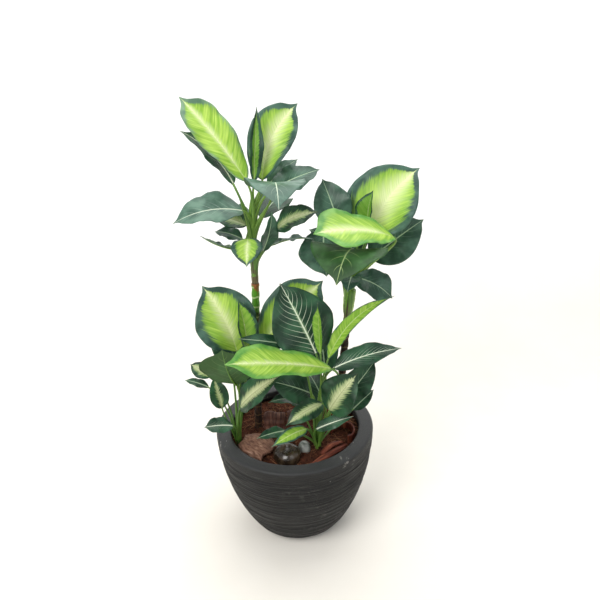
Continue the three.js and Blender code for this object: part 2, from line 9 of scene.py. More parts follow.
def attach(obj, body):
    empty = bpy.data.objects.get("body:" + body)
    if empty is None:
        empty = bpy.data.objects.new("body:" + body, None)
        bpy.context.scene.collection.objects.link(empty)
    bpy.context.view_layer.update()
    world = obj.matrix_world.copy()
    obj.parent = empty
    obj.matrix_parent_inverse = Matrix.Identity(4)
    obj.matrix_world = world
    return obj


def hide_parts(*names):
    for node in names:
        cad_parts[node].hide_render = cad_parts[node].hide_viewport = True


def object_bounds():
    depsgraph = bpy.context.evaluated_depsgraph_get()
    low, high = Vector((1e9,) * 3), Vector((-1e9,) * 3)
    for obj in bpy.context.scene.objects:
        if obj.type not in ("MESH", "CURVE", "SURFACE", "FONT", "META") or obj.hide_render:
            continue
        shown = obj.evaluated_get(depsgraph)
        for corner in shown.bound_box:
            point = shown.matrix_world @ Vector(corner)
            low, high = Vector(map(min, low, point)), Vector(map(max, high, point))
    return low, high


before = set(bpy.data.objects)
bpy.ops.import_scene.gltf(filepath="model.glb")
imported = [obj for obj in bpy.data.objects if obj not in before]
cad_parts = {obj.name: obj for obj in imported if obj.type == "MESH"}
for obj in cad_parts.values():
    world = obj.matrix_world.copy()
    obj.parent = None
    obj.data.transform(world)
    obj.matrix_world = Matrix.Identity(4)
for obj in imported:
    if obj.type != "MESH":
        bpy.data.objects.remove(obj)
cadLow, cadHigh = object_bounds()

# Sizes in the piece dictionaries are in millimetres; points become metres when a mesh is placed.
mm = 0.001
# points nearer than this are welded
weld = 1e-6


def colour(text):
    # a hex colour as linear RGBA
    parts = [int(text[i:i + 2], 16) / 255 for i in (1, 3, 5)]
    return [c / 12.92 if c <= 0.04045 else ((c + 0.055) / 1.055) ** 2.4 for c in parts] + [1.0]


def smoothStep(x, low, high):
    x = min(1.0, max(0.0, (x - low) / (high - low)))
    return x * x * (3 - 2 * x)


def noiseAt(x, y, z):
    return noise.noise(Vector((x, y, z)))


# camera and light
cameraSettings = {"place": (0.033, -1.479, 1.375), "pitchDown": 23.6, "roll": -2.7, "lens": 36,
                  "sensor": 36, "farthest": 50}

cameraData = bpy.data.cameras.new("camera")
cameraData.lens = cameraSettings["lens"]
cameraData.sensor_width = cameraSettings["sensor"]
cameraData.clip_end = cameraSettings["farthest"]
cameraObject = bpy.data.objects.new("camera", cameraData)
bpy.context.scene.collection.objects.link(cameraObject)
cameraObject.matrix_world = (
    Matrix.Translation(cameraSettings["place"])
    @ Matrix.Rotation(math.radians(90 - cameraSettings["pitchDown"]), 4, "X")
    @ Matrix.Rotation(math.radians(cameraSettings["roll"]), 4, "Z")
)
bpy.context.scene.camera = cameraObject

lamps = [
    # name, place, aimed at, size, watts, tint
    ("keyLight", (-1.6, -2.3, 3.0), (0, 0, 0.7), 2.2, 92, (1.0, 0.985, 0.96)),
    ("fillLight", (2.4, -1.8, 2.2), (0, 0, 0.6), 2.4, 18, (0.96, 0.98, 1.0)),
    ("topLight", (0.2, 0.6, 3.4), (0, 0, 0.6), 2.6, 48, (1.0, 1.0, 1.0)),
]
for name, place, aim, size, watts, tint in lamps:
    lampData = bpy.data.lights.new(name, "AREA")
    lampData.shape = "DISK"
    lampData.size = size
    lampData.energy = watts
    lampData.color = tint
    lamp = bpy.data.objects.new(name, lampData)
    lamp.location = place
    lamp.rotation_euler = (Vector(aim) - Vector(place)).to_track_quat("-Z", "Y").to_euler()
    bpy.context.scene.collection.objects.link(lamp)

room = {"tint": (0.97, 0.985, 1.0, 1), "strength": 0.5}
world = bpy.data.worlds.new("softRoom")
bpy.context.scene.world = world
world.use_nodes = True
background = world.node_tree.nodes["Background"]
background.inputs["Color"].default_value = room["tint"]
background.inputs["Strength"].default_value = room["strength"]
bpy.context.scene.view_settings.view_transform = "Standard"


# helpers for materials
class Wire:
    # an output socket with the arithmetic that joins it to numbers and to other wires
    def __init__(self, socket):
        self.socket = socket
        self.tree = socket.id_data

    def __add__(self, other):
        return combined("ADD", self, other)

    def __sub__(self, other):
        return combined("SUBTRACT", self, other)

    def __rsub__(self, other):
        return combined("SUBTRACT", other, self)

    def __mul__(self, other):
        return combined("MULTIPLY", self, other)

    def __rmul__(self, other):
        return combined("MULTIPLY", other, self)

    def __truediv__(self, other):
        return combined("DIVIDE", self, other)

    def __abs__(self):
        return combined("ABSOLUTE", self)


def feed(socket, value):
    # a wire is linked to the socket; a number, vector or hex colour is set on it
    if isinstance(value, Wire):
        value.tree.links.new(value.socket, socket)
    else:
        socket.default_value = colour(value) if isinstance(value, str) else value


def newNode(kind, output, values, **settings):
    # a node in the tree of the first wire that it takes; its inputs are fed with values
    tree = next(value.tree for value in values.values() if isinstance(value, Wire))
    node = tree.nodes.new(kind)
    for setting, value in settings.items():
        setattr(node, setting, value)
    for name, value in values.items():
        feed(node.inputs[name], value)
    return Wire(node.outputs[output])


def combined(operation, a, b=0.0, clamped=False):
    return newNode("ShaderNodeMath", 0, {0: a, 1: b}, operation=operation, use_clamp=clamped)


def ease(value, low, high, start=0.0, end=1.0):
    # a smooth step of value from low to high, running from start to end
    values = {"Value": value, "From Min": low, "From Max": high, "To Min": start, "To Max": end}
    return newNode("ShaderNodeMapRange", "Result", values, interpolation_type="SMOOTHSTEP")


def mix(share, a, b):
    values = {"Factor": share, "A": a, "B": b}
    return newNode("ShaderNodeMix", "Result", values, data_type="RGBA", clamp_factor=True)


def mixValue(share, a, b):
    return a * (1.0 - share) + b * share


def noiseOf(vector, scale, detail=2.0, roughness=0.5, distortion=0.0):
    return newNode("ShaderNodeTexNoise", "Fac", {
        "Vector": vector, "Scale": scale, "Detail": detail, "Roughness": roughness,
        "Distortion": distortion})


def join(x, y, z):
    return newNode("ShaderNodeCombineXYZ", "Vector", {"X": x, "Y": y, "Z": z})


def scaled(vector, scale):
    return newNode("ShaderNodeVectorMath", "Vector", {0: vector, 1: scale}, operation="MULTIPLY")


def partsOf(vector):
    return [newNode("ShaderNodeSeparateXYZ", axis, {"Vector": vector}) for axis in "XYZ"]


def painted(shader, base, height, strength, distance):
    # the material's colour, and relief from height
    feed(shader.inputs["Base Color"], base)
    values = {"Strength": strength, "Distance": distance, "Height": height}
    feed(shader.inputs["Normal"], newNode("ShaderNodeBump", "Normal", values))


def newMaterial(name, roughness, specular):
    material = bpy.data.materials.new(name)
    material.use_nodes = True
    shader = material.node_tree.nodes["Principled BSDF"]
    shader.inputs["Roughness"].default_value = roughness
    shader.inputs["Specular IOR Level"].default_value = specular
    return material, shader


def stored(material, name):
    # an attribute that the mesh carries
    node = material.node_tree.nodes.new("ShaderNodeAttribute")
    node.attribute_name = name
    return Wire(node.outputs["Vector"])


def objectPlace(material):
    return Wire(material.node_tree.nodes.new("ShaderNodeTexCoord").outputs["Object"])


# helpers for meshes
def newLayer(bm, name):
    return bm.verts.layers.float_vector.new(name)


def move(bm, spec):
    # turns a mesh by the angles of its piece, then brings it to its place
    turn = Matrix.Translation(Vector(spec["at"]) * mm)
    for name, axis in (("yaw", "Z"), ("pitch", "Y"), ("roll", "X")):
        turn = turn @ Matrix.Rotation(spec.get(name, 0), 4, axis)
    bm.transform(turn)


def newObject(bm, name, materials):
    for face in bm.faces:
        face.smooth = True
    mesh = bpy.data.meshes.new(name)
    bm.to_mesh(mesh)
    bm.free()
    for material in materials:
        mesh.materials.append(material)
    made = bpy.data.objects.new(name, mesh)
    bpy.context.scene.collection.objects.link(made)
    return made


def finishPiece(bm, name, materials, slot, nodes):
    piece = newObject(bm, name, materials)
    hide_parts(*nodes)
    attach(piece, "root")


def framesAlong(path):
    # two directions across the path at each of its points, carried along without twist
    tangents = [(path[min(i + 1, len(path) - 1)] - path[max(i - 1, 0)]).normalized()
                for i in range(len(path))]
    side = tangents[0].orthogonal().normalized()
    frames = []
    for i, tangent in enumerate(tangents):
        if i:
            side = tangents[i - 1].rotation_difference(tangent) @ side
        side = (side - tangent * side.dot(tangent)).normalized()
        frames.append((side, tangent.cross(side)))
    return frames


def cutUpright(bm, verts, cuts):
    # cuts the upright edges of a new cone, so that it can be bent
    upright = [e for v in verts for e in v.link_edges
               if abs(e.verts[0].co.z - e.verts[1].co.z) > 0.5]
    bmesh.ops.subdivide_edges(bm, edges=list(dict.fromkeys(upright)), cuts=cuts, use_grid_fill=True)


def addRod(bm, layer, path, radiusAt, sides, materialIndex=0, flatten=None, seed=0.0):
    # a closed round rod along the points of path; flatten(share, x, y) may shape its section.
    # layer stores the place round the rod and along it, with seed added
    steps = len(path) - 1
    start = len(bm.verts)
    made = bmesh.ops.create_cone(bm, cap_ends=True, segments=sides, radius1=1, radius2=1, depth=1)
    cutUpright(bm, made["verts"], steps - 1)
    bm.verts.ensure_lookup_table()
    verts = bm.verts[start:]
    frames = framesAlong(path)
    faces = {f for v in verts for f in v.link_faces}
    lengths = [0.0]
    for here, following in zip(path, path[1:]):
        lengths.append(lengths[-1] + (following - here).length)
    for v in verts:
        i = min(steps, max(0, round((v.co.z + 0.5) * steps)))
        x, y = v.co.x, v.co.y
        v[layer] = (x, y, lengths[i] + seed)
        if flatten:
            x, y = flatten(i / steps, x, y)
        side, up = frames[i]
        r = radiusAt(i / steps)
        v.co = path[i] + side * (x * r) + up * (y * r)
    for face in faces:
        face.material_index = materialIndex


def turned(profile, around):
    # a closed skin: a profile of radius and height, turned round the upright axis
    bm = bmesh.new()
    verts = [bm.verts.new((radius * mm, 0, z * mm)) for radius, z in profile]
    edges = [bm.edges.new(pair) for pair in zip(verts, verts[1:])]
    bmesh.ops.spin(bm, geom=verts + edges, cent=(0, 0, 0), axis=(0, 0, 1), angle=2 * math.pi,
                   steps=around, use_merge=True)
    bmesh.ops.remove_doubles(bm, verts=bm.verts[:], dist=weld)
    bmesh.ops.recalc_face_normals(bm, faces=bm.faces[:])
    return bm


# planter
planter = {
    "rim": 230, "height": 335, "opening": 188, "lip": 26, "wall": 9, "foot": 118, "footRound": 32,
    "combDepth": 2.6, "combTop": 313, "combStep": 2.2, "around": 180,
    # heights at which the inside bends
    "levels": (270, 180, 100, 45),
}


def potOutline(height):
    down = 1 - height / planter["height"]
    radius = planter["foot"] + (planter["rim"] - planter["foot"]) * (1 - down ** 1.85) ** 0.8
    if height < planter["footRound"]:
        r = planter["footRound"]
        radius -= r - math.sqrt(r ** 2 - (r - height) ** 2)
    return radius


def insideRadius(height):
    return min(potOutline(height) - planter["wall"], planter["opening"] + 14)


def combing(height, angle):
    # how deep the comb went here, 0 to 1: long uneven lines that wander round the pot
    drift = 2.2 * noiseAt(math.cos(angle) * 1.3, math.sin(angle) * 1.3, height * 0.012)
    h = height + drift
    broad = noiseAt(h * 0.115, math.cos(angle) * 0.5 + 7, math.sin(angle) * 0.5)
    fine = noiseAt(h * 0.27, math.cos(angle) * 1.1, math.sin(angle) * 1.1 + 3)
    cut = 0.5 + 0.7 * broad + 1.1 * fine
    return min(1.0, max(0.0, cut))


def makePlanter(material):
    h, r, o = planter["height"], planter["rim"], planter["opening"]
    profile = [(0, 0), (potOutline(0) - 12, 0), (potOutline(0) - 4, 0.4)]
    height = 1.2
    while height < planter["combTop"]:
        profile.append((potOutline(height), height))
        height += 1.6 if height > 24 else planter["combStep"]
    for i in range(7):
        height = planter["combTop"] + i * planter["combStep"]
        profile.append((potOutline(height) - 0.2, height))
    profile += [(r - 0.6, h - 6.5), (r - 1.4, h - 4), (r - 3.2, h - 1.8), (r - 6, h - 0.5), (r - 9, h)]
    profile += [(r - 20, h), (o + 12, h), (o + 6, h - 0.4), (o + 2.6, h - 1.6), (o + 0.8, h - 3.6)]
    profile += [(o, h - 6), (o, h - 15), (o, h - planter["lip"])]
    profile.append((insideRadius(planter["levels"][0]), h - planter["lip"]))
    profile += [(insideRadius(z), z) for z in planter["levels"]]
    profile += [(potOutline(24) - planter["wall"] - 12, planter["wall"]), (0, planter["wall"])]
    bm = turned(profile, planter["around"])
    for v in bm.verts:
        z = v.co.z / mm
        radius = math.hypot(v.co.x, v.co.y) / mm
        if 8 < z < planter["combTop"] and radius > potOutline(z) - 2:
            angle = math.atan2(v.co.y, v.co.x)
            edge = smoothStep(z, 8, 22) * (1 - smoothStep(z, planter["combTop"] - 8, planter["combTop"]))
            share = 1 - planter["combDepth"] * combing(z, angle) * edge / radius
            v.co.x *= share
            v.co.y *= share
    finishPiece(bm, "planterShell", [material], "pot_plastic", ["planter"])


def makePotPlastic():
    material, shader = newMaterial("charcoalPlastic", 0.58, 0.35)
    place = objectPlace(material)
    height = partsOf(place)[2]
    lines = noiseOf(scaled(place, (7, 7, 330)), 1.0, 4, 0.65)
    cloud = noiseOf(place, 9, 4, 0.6)
    grain = noiseOf(place, 900, 2)
    base = mix(ease(lines, 0.3, 0.6), "#080808", "#1c1c1b")
    base = mix(ease(cloud, 0.35, 0.75, 0, 0.35), base, "#232325")
    base = mix(ease(lines, 0.58, 0.68, 0, 0.7), base, "#55544f")
    # the top of the rim is smooth and a little greyer, with pale scuffs
    rim = ease(height, 0.327, 0.333)
    base = mix(rim, base, mix(cloud, "#232425", "#343536"))
    scuff = noiseOf(scaled(place, (60, 24, 60)), 1.0, 5, 0.7)
    patch = noiseOf(place, 7, 1)
    scuffs = ease(scuff, 0.56, 0.64) * ease(patch, 0.52, 0.62)
    base = mix(scuffs * ease(height, 0.30, 0.333, 0.1, 0.45), base, "#a7a39d")
    specks = newNode("ShaderNodeTexVoronoi", "Distance", {"Vector": place, "Scale": 75})
    dot = ease(specks, 0.05, 0.08, 1, 0)
    rare = ease(noiseOf(place, 31, 1), 0.68, 0.72)
    base = mix(dot * rare, base, "#d8d5cf")
    feed(shader.inputs["Roughness"], mixValue(rim, lines * 0.22 + 0.48, cloud * 0.25 + 0.32))
    painted(shader, base, mixValue(rim, lines, 0.5) + grain * 0.12, 1.0, 0.005)
    return material


# filling of coir with bark and stones
filling = {"level": 304, "dome": 14, "edge": 201.4, "gap": 0.7, "sink": 1.5, "calm": (185, 200),
           "rings": 74, "around": 170}
strands = {"count": 1500, "seed": 5, "radius": (0.28, 0.75), "length": (12, 62), "spread": 196,
           "bend": 1.6, "lift": (0.2, 3.2), "end": (-0.5, 4.5), "steps": 5, "darkShare": 0.6}


def fillingTop(x, y):
    out = math.hypot(x, y) / planter["rim"]
    swell = 2.5 * math.sin(x / 23 + 1) * math.cos(y / 27) + 1.5 * math.sin(y / 11 + x / 17)
    return filling["level"] + filling["dome"] * (1 - 1.4 * out * out) + swell


def clumps(x, y):
    lump = noiseAt(x * 0.045, y * 0.045, 2.0)
    crumb = noiseAt(x * 0.16, y * 0.16, 9.0)
    fine = noiseAt(x * 0.45, y * 0.45, 4.0)
    return 4.0 * lump + 2.6 * crumb + 1.3 * fine - 1.5


def makeFilling(material):
    floor = planter["wall"] + 0.5
    profile = [(0, floor), (potOutline(24) - planter["wall"] - 12.5, floor)]
    profile += [(insideRadius(z) - filling["gap"], z) for z in reversed(planter["levels"])]
    profile.append((filling["edge"], filling["level"] - 6))
    profile += [(filling["edge"] * (1 - i / filling["rings"]), filling["level"])
                for i in range(filling["rings"] + 1)]
    bm = turned(profile, filling["around"])
    for v in bm.verts:
        if v.co.z > (filling["level"] - 1) * mm:
            x, y = v.co.x / mm, v.co.y / mm
            # the relief runs out before it meets the planter
            rough = 1 - smoothStep(math.hypot(x, y), *filling["calm"])
            v.co.z = (fillingTop(x, y) + clumps(x, y) * rough - filling["sink"]) * mm
    finishPiece(bm, "coirBed", [material], "coir", ["coir_filling"])


def makeStrands(materials):
    # loose fibres lying on the filling, each a thin bent rod
    draw = random.Random(strands["seed"])
    steps = strands["steps"]
    bm = bmesh.new()
    place = newLayer(bm, "stem")
    template = bmesh.new()
    bmesh.ops.create_cone(template, cap_ends=True, segments=3, radius1=1, radius2=1, depth=1)
    cutUpright(template, template.verts[:], steps - 1)
    shape = bpy.data.meshes.new("strandShape")
    template.to_mesh(shape)
    template.free()
    for _ in range(strands["count"]):
        spread = strands["spread"] * math.sqrt(draw.random())
        angle = draw.uniform(0, 2 * math.pi)
        x, y = spread * math.cos(angle), spread * math.sin(angle)
        heading = draw.uniform(0, 2 * math.pi)
        length = draw.uniform(*strands["length"]) * draw.uniform(0.4, 1)
        bend = draw.uniform(-strands["bend"], strands["bend"])
        lift = draw.uniform(*strands["lift"])
        end = draw.uniform(*strands["end"])
        radius = draw.uniform(*strands["radius"])
        points = []
        for i in range(steps + 1):
            if math.hypot(x, y) > strands["spread"] + 1:
                x, y = x * 0.97, y * 0.97
            rise = lift * math.sin(math.pi * i / steps) + end * (i / steps) ** 2
            points.append(Vector((x, y, fillingTop(x, y) + clumps(x, y) - 1.2 + rise)) * mm)
            x += math.cos(heading) * length / steps
            y += math.sin(heading) * length / steps
            heading += bend / steps
        frames = framesAlong(points)
        start = len(bm.verts)
        firstFace = len(bm.faces)
        bm.from_mesh(shape)
        bm.verts.ensure_lookup_table()
        bm.faces.ensure_lookup_table()
        tone = draw.random()
        for v in bm.verts[start:]:
            i = min(steps, max(0, round((v.co.z + 0.5) * steps)))
            side, up = frames[i]
            r = radius * mm * (1 - 0.6 * i / steps)
            v[place] = (v.co.x, v.co.y, tone * 7)
            v.co = points[i] + side * (v.co.x * r) + up * (v.co.y * r)
        for face in bm.faces[firstFace:]:
            face.material_index = 0 if tone < strands["darkShare"] else 1
    bpy.data.meshes.remove(shape)
    finishPiece(bm, "coirStrands", materials, "coir", ["coir_filling"])


def makeCoir():
    material, shader = newMaterial("coir", 0.95, 0.15)
    place = objectPlace(material)
    clump = noiseOf(place, 55, 5, 0.65)
    crumb = noiseOf(place, 240, 4, 0.7)
    base = mix(ease(clump, 0.3, 0.7), "#24140e", "#5a3223")
    base = mix(ease(crumb, 0.52, 0.75, 0, 0.7), base, "#8a5a3e")
    painted(shader, base, clump + crumb, 0.9, 0.004)
    return material


def makeStrandMaterial(name, dark, pale):
    material, shader = newMaterial(name, 0.85, 0.2)
    tone = partsOf(stored(material, "stem"))[2]
    feed(shader.inputs["Base Color"], mix(noiseOf(join(tone, tone, tone), 3.0, 1), dark, pale))
    return material


def makeBarkMaterial(name, dark, mid, pale, stretch, roughness):
    material, shader = newMaterial(name, roughness, 0.3)
    grain = stored(material, "grain")
    fibre = noiseOf(scaled(grain, stretch), 1.0, 6, 0.62, 0.3)
    patch = noiseOf(scaled(grain, (22, 30, 30)), 1.0, 3)
    base = mix(ease(fibre, 0.3, 0.62), dark, mid)
    base = mix(ease(fibre * patch, 0.24, 0.42), base, pale)
    feed(shader.inputs["Roughness"], combined("ADD", fibre * 0.3, roughness - 0.15, clamped=True))
    painted(shader, base, fibre, 0.9, 0.003)
    return material


def makeStoneMaterial(name, dark, pale):
    material, shader = newMaterial(name, 0.2, 0.6)
    grain = stored(material, "grain")
    cloud = noiseOf(grain, 26, 4, 0.6)
    grit = noiseOf(grain, 420, 2, 0.6)
    base = mix(ease(cloud, 0.35, 0.7), dark, pale)
    base = mix(ease(grit, 0.7, 0.76, 0, 0.5), base, "#b9b2a4")
    painted(shader, base, cloud + grit * 0.12, 0.35, 0.003)
    return material


# the same sizes and places as their solids
stones = {
    "stone_dark": dict(piece="stoneDark", slot="dark_stone", seed=2, size=(88, 72, 62), yaw=0.2,
                       at=(-21, -131, 319), material="darkStone", colours=("#1d160f", "#4b3d2d")),
    "stone_grey": dict(piece="stoneGrey", slot="grey_stone", seed=4, size=(34, 40, 46), yaw=-0.5,
                       at=(27, -93, 314), material="greyStone", colours=("#5f655f", "#b3b6b0")),
}
barkPieces = {
    "bark_slab_pale": dict(
        piece="barkSlab", slot="pale_bark", seed=1, size=(106, 92, 13), taper=0.22, groove=1.2,
        bend=12, curve=7, roll=0.1, pitch=-0.04, yaw=-0.85, at=(-106, -79, 312)),
    "bark_standing_left": dict(
        piece="barkStandingLeft", slot="dark_bark", seed=5, size=(64, 62, 9), taper=0.12,
        groove=1.6, bend=9, curve=0, roll=1.3, pitch=0, yaw=-0.15, at=(-59, 14, 332)),
    "bark_standing_right": dict(
        piece="barkStandingRight", slot="dark_bark", seed=7, size=(60, 76, 10), taper=0.1,
        groove=1.8, bend=11, curve=0, roll=1.25, pitch=0, yaw=0.1, at=(8, 4, 338)),
    "bark_shaving_long": dict(
        piece="barkShavingLong", slot="red_bark", seed=8, size=(140, 17, 4), taper=0.5, groove=0,
        bend=2, curve=10, roll=0.5, pitch=-0.06, yaw=0.62, at=(91, -133, 313)),
    "bark_shaving_short": dict(
        piece="barkShavingShort", slot="red_bark", seed=9, size=(84, 22, 4), taper=0.45, groove=0,
        bend=4, curve=12, roll=-0.2, pitch=0.05, yaw=0.7, at=(104, -101, 312.5)),
}
# material name, three colours, fineness of the fibres along each axis, roughness
barkLooks = {
    "pale_bark": ("paleBark", "#4d3328", "#7c5947", "#9d7c68", (60, 240, 60), 0.75),
    "dark_bark": ("darkBark", "#3a211b", "#643f35", "#87604f", (260, 26, 60), 0.6),
    "red_bark": ("redBark", "#361610", "#6d3220", "#94553a", (24, 320, 80), 0.6),
}
# how often a piece of bark is cut along its length, its width and its thickness
barkCuts = (44, 30, 3)
barkCurl = {"radius": 37, "thick": 5, "height": 46, "start": -1.2, "end": 2.9, "roll": 0.08,
            "cuts": 12, "around": 56, "at": (138, -34, 290)}


def makeStone(node, spec, material):
    bm = bmesh.new()
    grain = newLayer(bm, "grain")
    bmesh.ops.create_icosphere(bm, subdivisions=5, radius=1)
    seed = spec["seed"]
    for v in bm.verts:
        p = v.co.copy()
        bump = 1 + 0.07 * math.sin(3 * p.x + seed) + 0.06 * math.cos(4 * p.y + 2 * seed)
        bump += 0.03 * noise.noise(p * 2.4 + Vector((seed, 0, 0))) - 0.015
        squared = 1 - 0.1 * abs(p.x * p.y)
        sx, sy, sz = (s / 2 * mm for s in spec["size"])
        v.co = Vector((p.x * bump * squared * sx, p.y * bump * squared * sy, p.z * bump * sz))
        v[grain] = v.co
    move(bm, spec)
    finishPiece(bm, spec["piece"], [material], spec["slot"], [node])


def makeBark(node, spec, material):
    length, width, thick = spec["size"]
    seed = spec["seed"]
    bm = bmesh.new()
    grain = newLayer(bm, "grain")
    bmesh.ops.create_cube(bm, size=2)
    for axis, cuts in enumerate(barkCuts):
        edges = [e for e in bm.edges if abs(e.verts[0].co[axis] - e.verts[1].co[axis]) > 1]
        bmesh.ops.subdivide_edges(bm, edges=edges, cuts=cuts, use_grid_fill=True)
    for v in bm.verts:
        u, w, z = v.co
        edge = max(abs(u), abs(w)) ** 6
        taper = 1 - spec["taper"] * u * u
        ragged = 1 + 0.07 * math.sin(5 * w + seed)
        ragged += 0.05 * noiseAt(w * 9, seed, 0) * abs(u) - 0.02
        uneven = 1 + 0.08 * math.sin(4 * u + 2 * seed)
        uneven += 0.05 * noiseAt(u * 7, seed, 3) * abs(w) - 0.02
        groove = spec["groove"] * math.cos(3 * math.pi * w) if z > 0 else 0
        # fibres run along the length
        fibre = noiseAt(u * length * 0.02, w * width * 0.35, seed)
        fibre += 0.5 * noiseAt(u * length * 0.05, w * width * 0.9, seed + 5)
        rough = 0.11 * thick * fibre * abs(z)
        lift = spec["bend"] * (1 - w * w) + spec["curve"] * (1 - u * u)
        half = thick / 2 * (1 - 0.45 * edge)
        v.co = Vector((u * length / 2 * ragged, w * width / 2 * taper * uneven,
                       z * half + lift + groove * 0.8 + math.copysign(rough, z) - 0.3)) * mm
        v[grain] = Vector((u * length / 2, w * width / 2, z * thick / 2 + seed * 30)) * mm
    move(bm, spec)
    bmesh.ops.recalc_face_normals(bm, faces=bm.faces[:])
    finishPiece(bm, spec["piece"], [material], spec["slot"], [node])


def makeBarkCurl(material):
    spec = barkCurl
    bm = bmesh.new()
    grain = newLayer(bm, "grain")
    inner = spec["radius"] - spec["thick"]
    ring = [(inner, 0), (spec["radius"], 0), (spec["radius"], spec["height"]), (inner, spec["height"])]
    verts = [bm.verts.new((math.cos(spec["start"]) * r * mm, math.sin(spec["start"]) * r * mm, z * mm))
             for r, z in ring]
    bm.faces.new(verts)
    upright = [e for e in bm.edges if e.calc_length() > spec["height"] / 2 * mm]
    bmesh.ops.subdivide_edges(bm, edges=upright, cuts=spec["cuts"], use_grid_fill=True)
    bmesh.ops.spin(bm, geom=bm.faces[:], cent=(0, 0, 0), axis=(0, 0, 1),
                   angle=spec["end"] - spec["start"], steps=spec["around"])
    bmesh.ops.remove_doubles(bm, verts=bm.verts[:], dist=weld)
    inside = [f for f in bm.faces if all(len(e.link_faces) > 2 for e in f.edges)]
    bmesh.ops.delete(bm, geom=inside, context="FACES")
    bmesh.ops.recalc_face_normals(bm, faces=bm.faces[:])
    for v in bm.verts:
        angle = math.atan2(v.co.y, v.co.x)
        radius = math.hypot(v.co.x, v.co.y) / mm
        z = v.co.z / mm
        top = smoothStep(z, 20, spec["height"])
        v.co.z -= (4 + 4 * noiseAt(angle * 2.2, 3, 0)) * top * mm
        rough = 0.5 * noiseAt(angle * 9, z * 0.04, 8)
        share = 1 + (rough - 0.4) / radius
        v.co.x *= share
        v.co.y *= share
        v[grain] = Vector((z, angle * radius, radius)) * mm
    move(bm, spec)
    finishPiece(bm, "barkCurl", [material], "red_bark", ["bark_curl"])


# canes
canes = {
    "cane_tall_left": dict(piece="caneLeft", foot=(-112, 20, 250), top=(-85, 20, 775), seed=1,
                           bark=(0.42, 0.47, 0.505)),
    "cane_tall_right": dict(piece="caneRight", foot=(126, 40, 250), top=(160, 40, 628), seed=2,
                            bark=(0.9, 0.95, 0.9)),
}
caneShape = {"radius": 11.5, "ringSpacing": 29, "ringWidth": 1.7, "rootDepth": 60, "firstRing": 22,
             "sides": 24, "steps": 150}


def makeCane(node, spec, material):
    foot, top = Vector(spec["foot"]), Vector(spec["top"])
    length = (top - foot).length
    steps = caneShape["steps"]
    path = [foot.lerp(top, i / steps) * mm for i in range(steps + 1)]

    def radiusAt(share):
        height = share * length - caneShape["rootDepth"] - caneShape["firstRing"]
        ring = (height / caneShape["ringSpacing"]) % 1
        off = min(ring, 1 - ring) * caneShape["ringSpacing"] / caneShape["ringWidth"]
        scar = math.exp(-(off ** 2))
        swell = 0.7 * math.sin(2 * math.pi * ring) - 0.9
        return (caneShape["radius"] + scar + swell) * mm

    bm = bmesh.new()
    layer = newLayer(bm, "stem")
    addRod(bm, layer, path, radiusAt, caneShape["sides"])
    for v in bm.verts:
        bumpy = noise.noise(v.co * 60 + Vector((spec["seed"], 0, 0))) * 0.6 * mm
        centre = foot.lerp(top, min(1, max(0, (v.co.z / mm - foot.z) / (top.z - foot.z)))) * mm
        out = v.co - centre
        out.z = 0
        if out.length > 1e-4:
            v.co += out.normalized() * min(0, bumpy)
    finishPiece(bm, spec["piece"], [material], "cane_bark", [node])


def makeCaneMaterial(name, greenFrom, greenTo, rustFrom):
    # in metres up the cane: the bark turns green from greenFrom to greenTo, and is rusty from rustFrom
    material, shader = newMaterial(name, 0.6, 0.4)
    whole = stored(material, "stem")
    along = partsOf(whole)[2]
    firstRing = (caneShape["rootDepth"] + caneShape["firstRing"]) * mm
    ringPlace = (along - firstRing) / (caneShape["ringSpacing"] * mm)
    wobble = noiseOf(scaled(whole, (1, 1, 20)), 1.2, 2) * 0.3
    ring = combined("FRACT", ringPlace + (wobble - 0.15))
    scar = ease(combined("MINIMUM", ring, 1.0 - ring), 0.03, 0.12, 1, 0)
    blotch = noiseOf(scaled(whole, (1.3, 1.3, 45)), 1.0, 5, 0.65)
    streak = noiseOf(scaled(whole, (5, 5, 12)), 1.0, 4, 0.6)
    brown = mix(ease(blotch, 0.4, 0.7), "#1c110b", "#4a2f1d")
    brown = mix(ease(streak, 0.6, 0.75, 0, 0.5), brown, "#7d4a26")
    brown = mix(scar * 0.7, brown, "#6e5a3c")
    green = mix(streak, "#2f6312", "#62a526")
    green = mix(scar * 0.9, green, "#b9cc94")
    level = along + (blotch - 0.5) * 0.12
    isGreen = ease(level, greenFrom, greenTo)
    bark = mix(isGreen, brown, green)
    # the top of the cane, where the youngest scar is, is a rusty brown
    rust = mix(streak, "#5a2f16", "#a4642f")
    bark = mix(ease(level, rustFrom, rustFrom + 0.012), bark, rust)
    feed(shader.inputs["Roughness"], mixValue(isGreen, 0.75, 0.42))
    painted(shader, bark, streak + blotch * 0.6, 0.6, 0.002)
    return material


# leaves and stalks
lowHead = dict(radii=(14, 10, 5), lowest=0.74, spread=6, rise=0.22, sheath=4.6, wrap=0.6)
heads = {
    "tall_left": dict(foot=(-85, 20, 775.9), top=(-84, 20, 955), radii=(10, 11, 9), lowest=0.42,
                      spread=0, rise=0.45, sheath=9.2, wrap=0.76, seed=11),
    "tall_right": dict(foot=(160, 40, 628.3), top=(172, 40, 736), radii=(11, 14, 17), lowest=0.4,
                       spread=0, rise=0.45, sheath=8.6, wrap=0.85, seed=23),
    "low_left": dict(lowHead, foot=(-166, -42, 250), top=(-165, -43, 330), seed=37),
    "low_right": dict(lowHead, foot=(62, -92, 250), top=(63, -92, 330), seed=51),
}
columnShape = {"sides": 22, "steps": 70, "sheathSpacing": 21}
stalkShape = {"radius": 3.4, "sides": 14, "steps": 26, "rib": 2.3}
# a blade shorter than little has fewer facets and a thinner rib; none comes nearer to the sides of
# the solids' box than inset
bladeShape = {"rows": 46, "columns": 24, "thick": 0.9, "fineWave": 0.22, "veins": 8, "widest": 0.42,
              "little": 110, "ribSteps": 18, "ribEnd": 0.93, "ribSides": 10, "inset": 0.2}


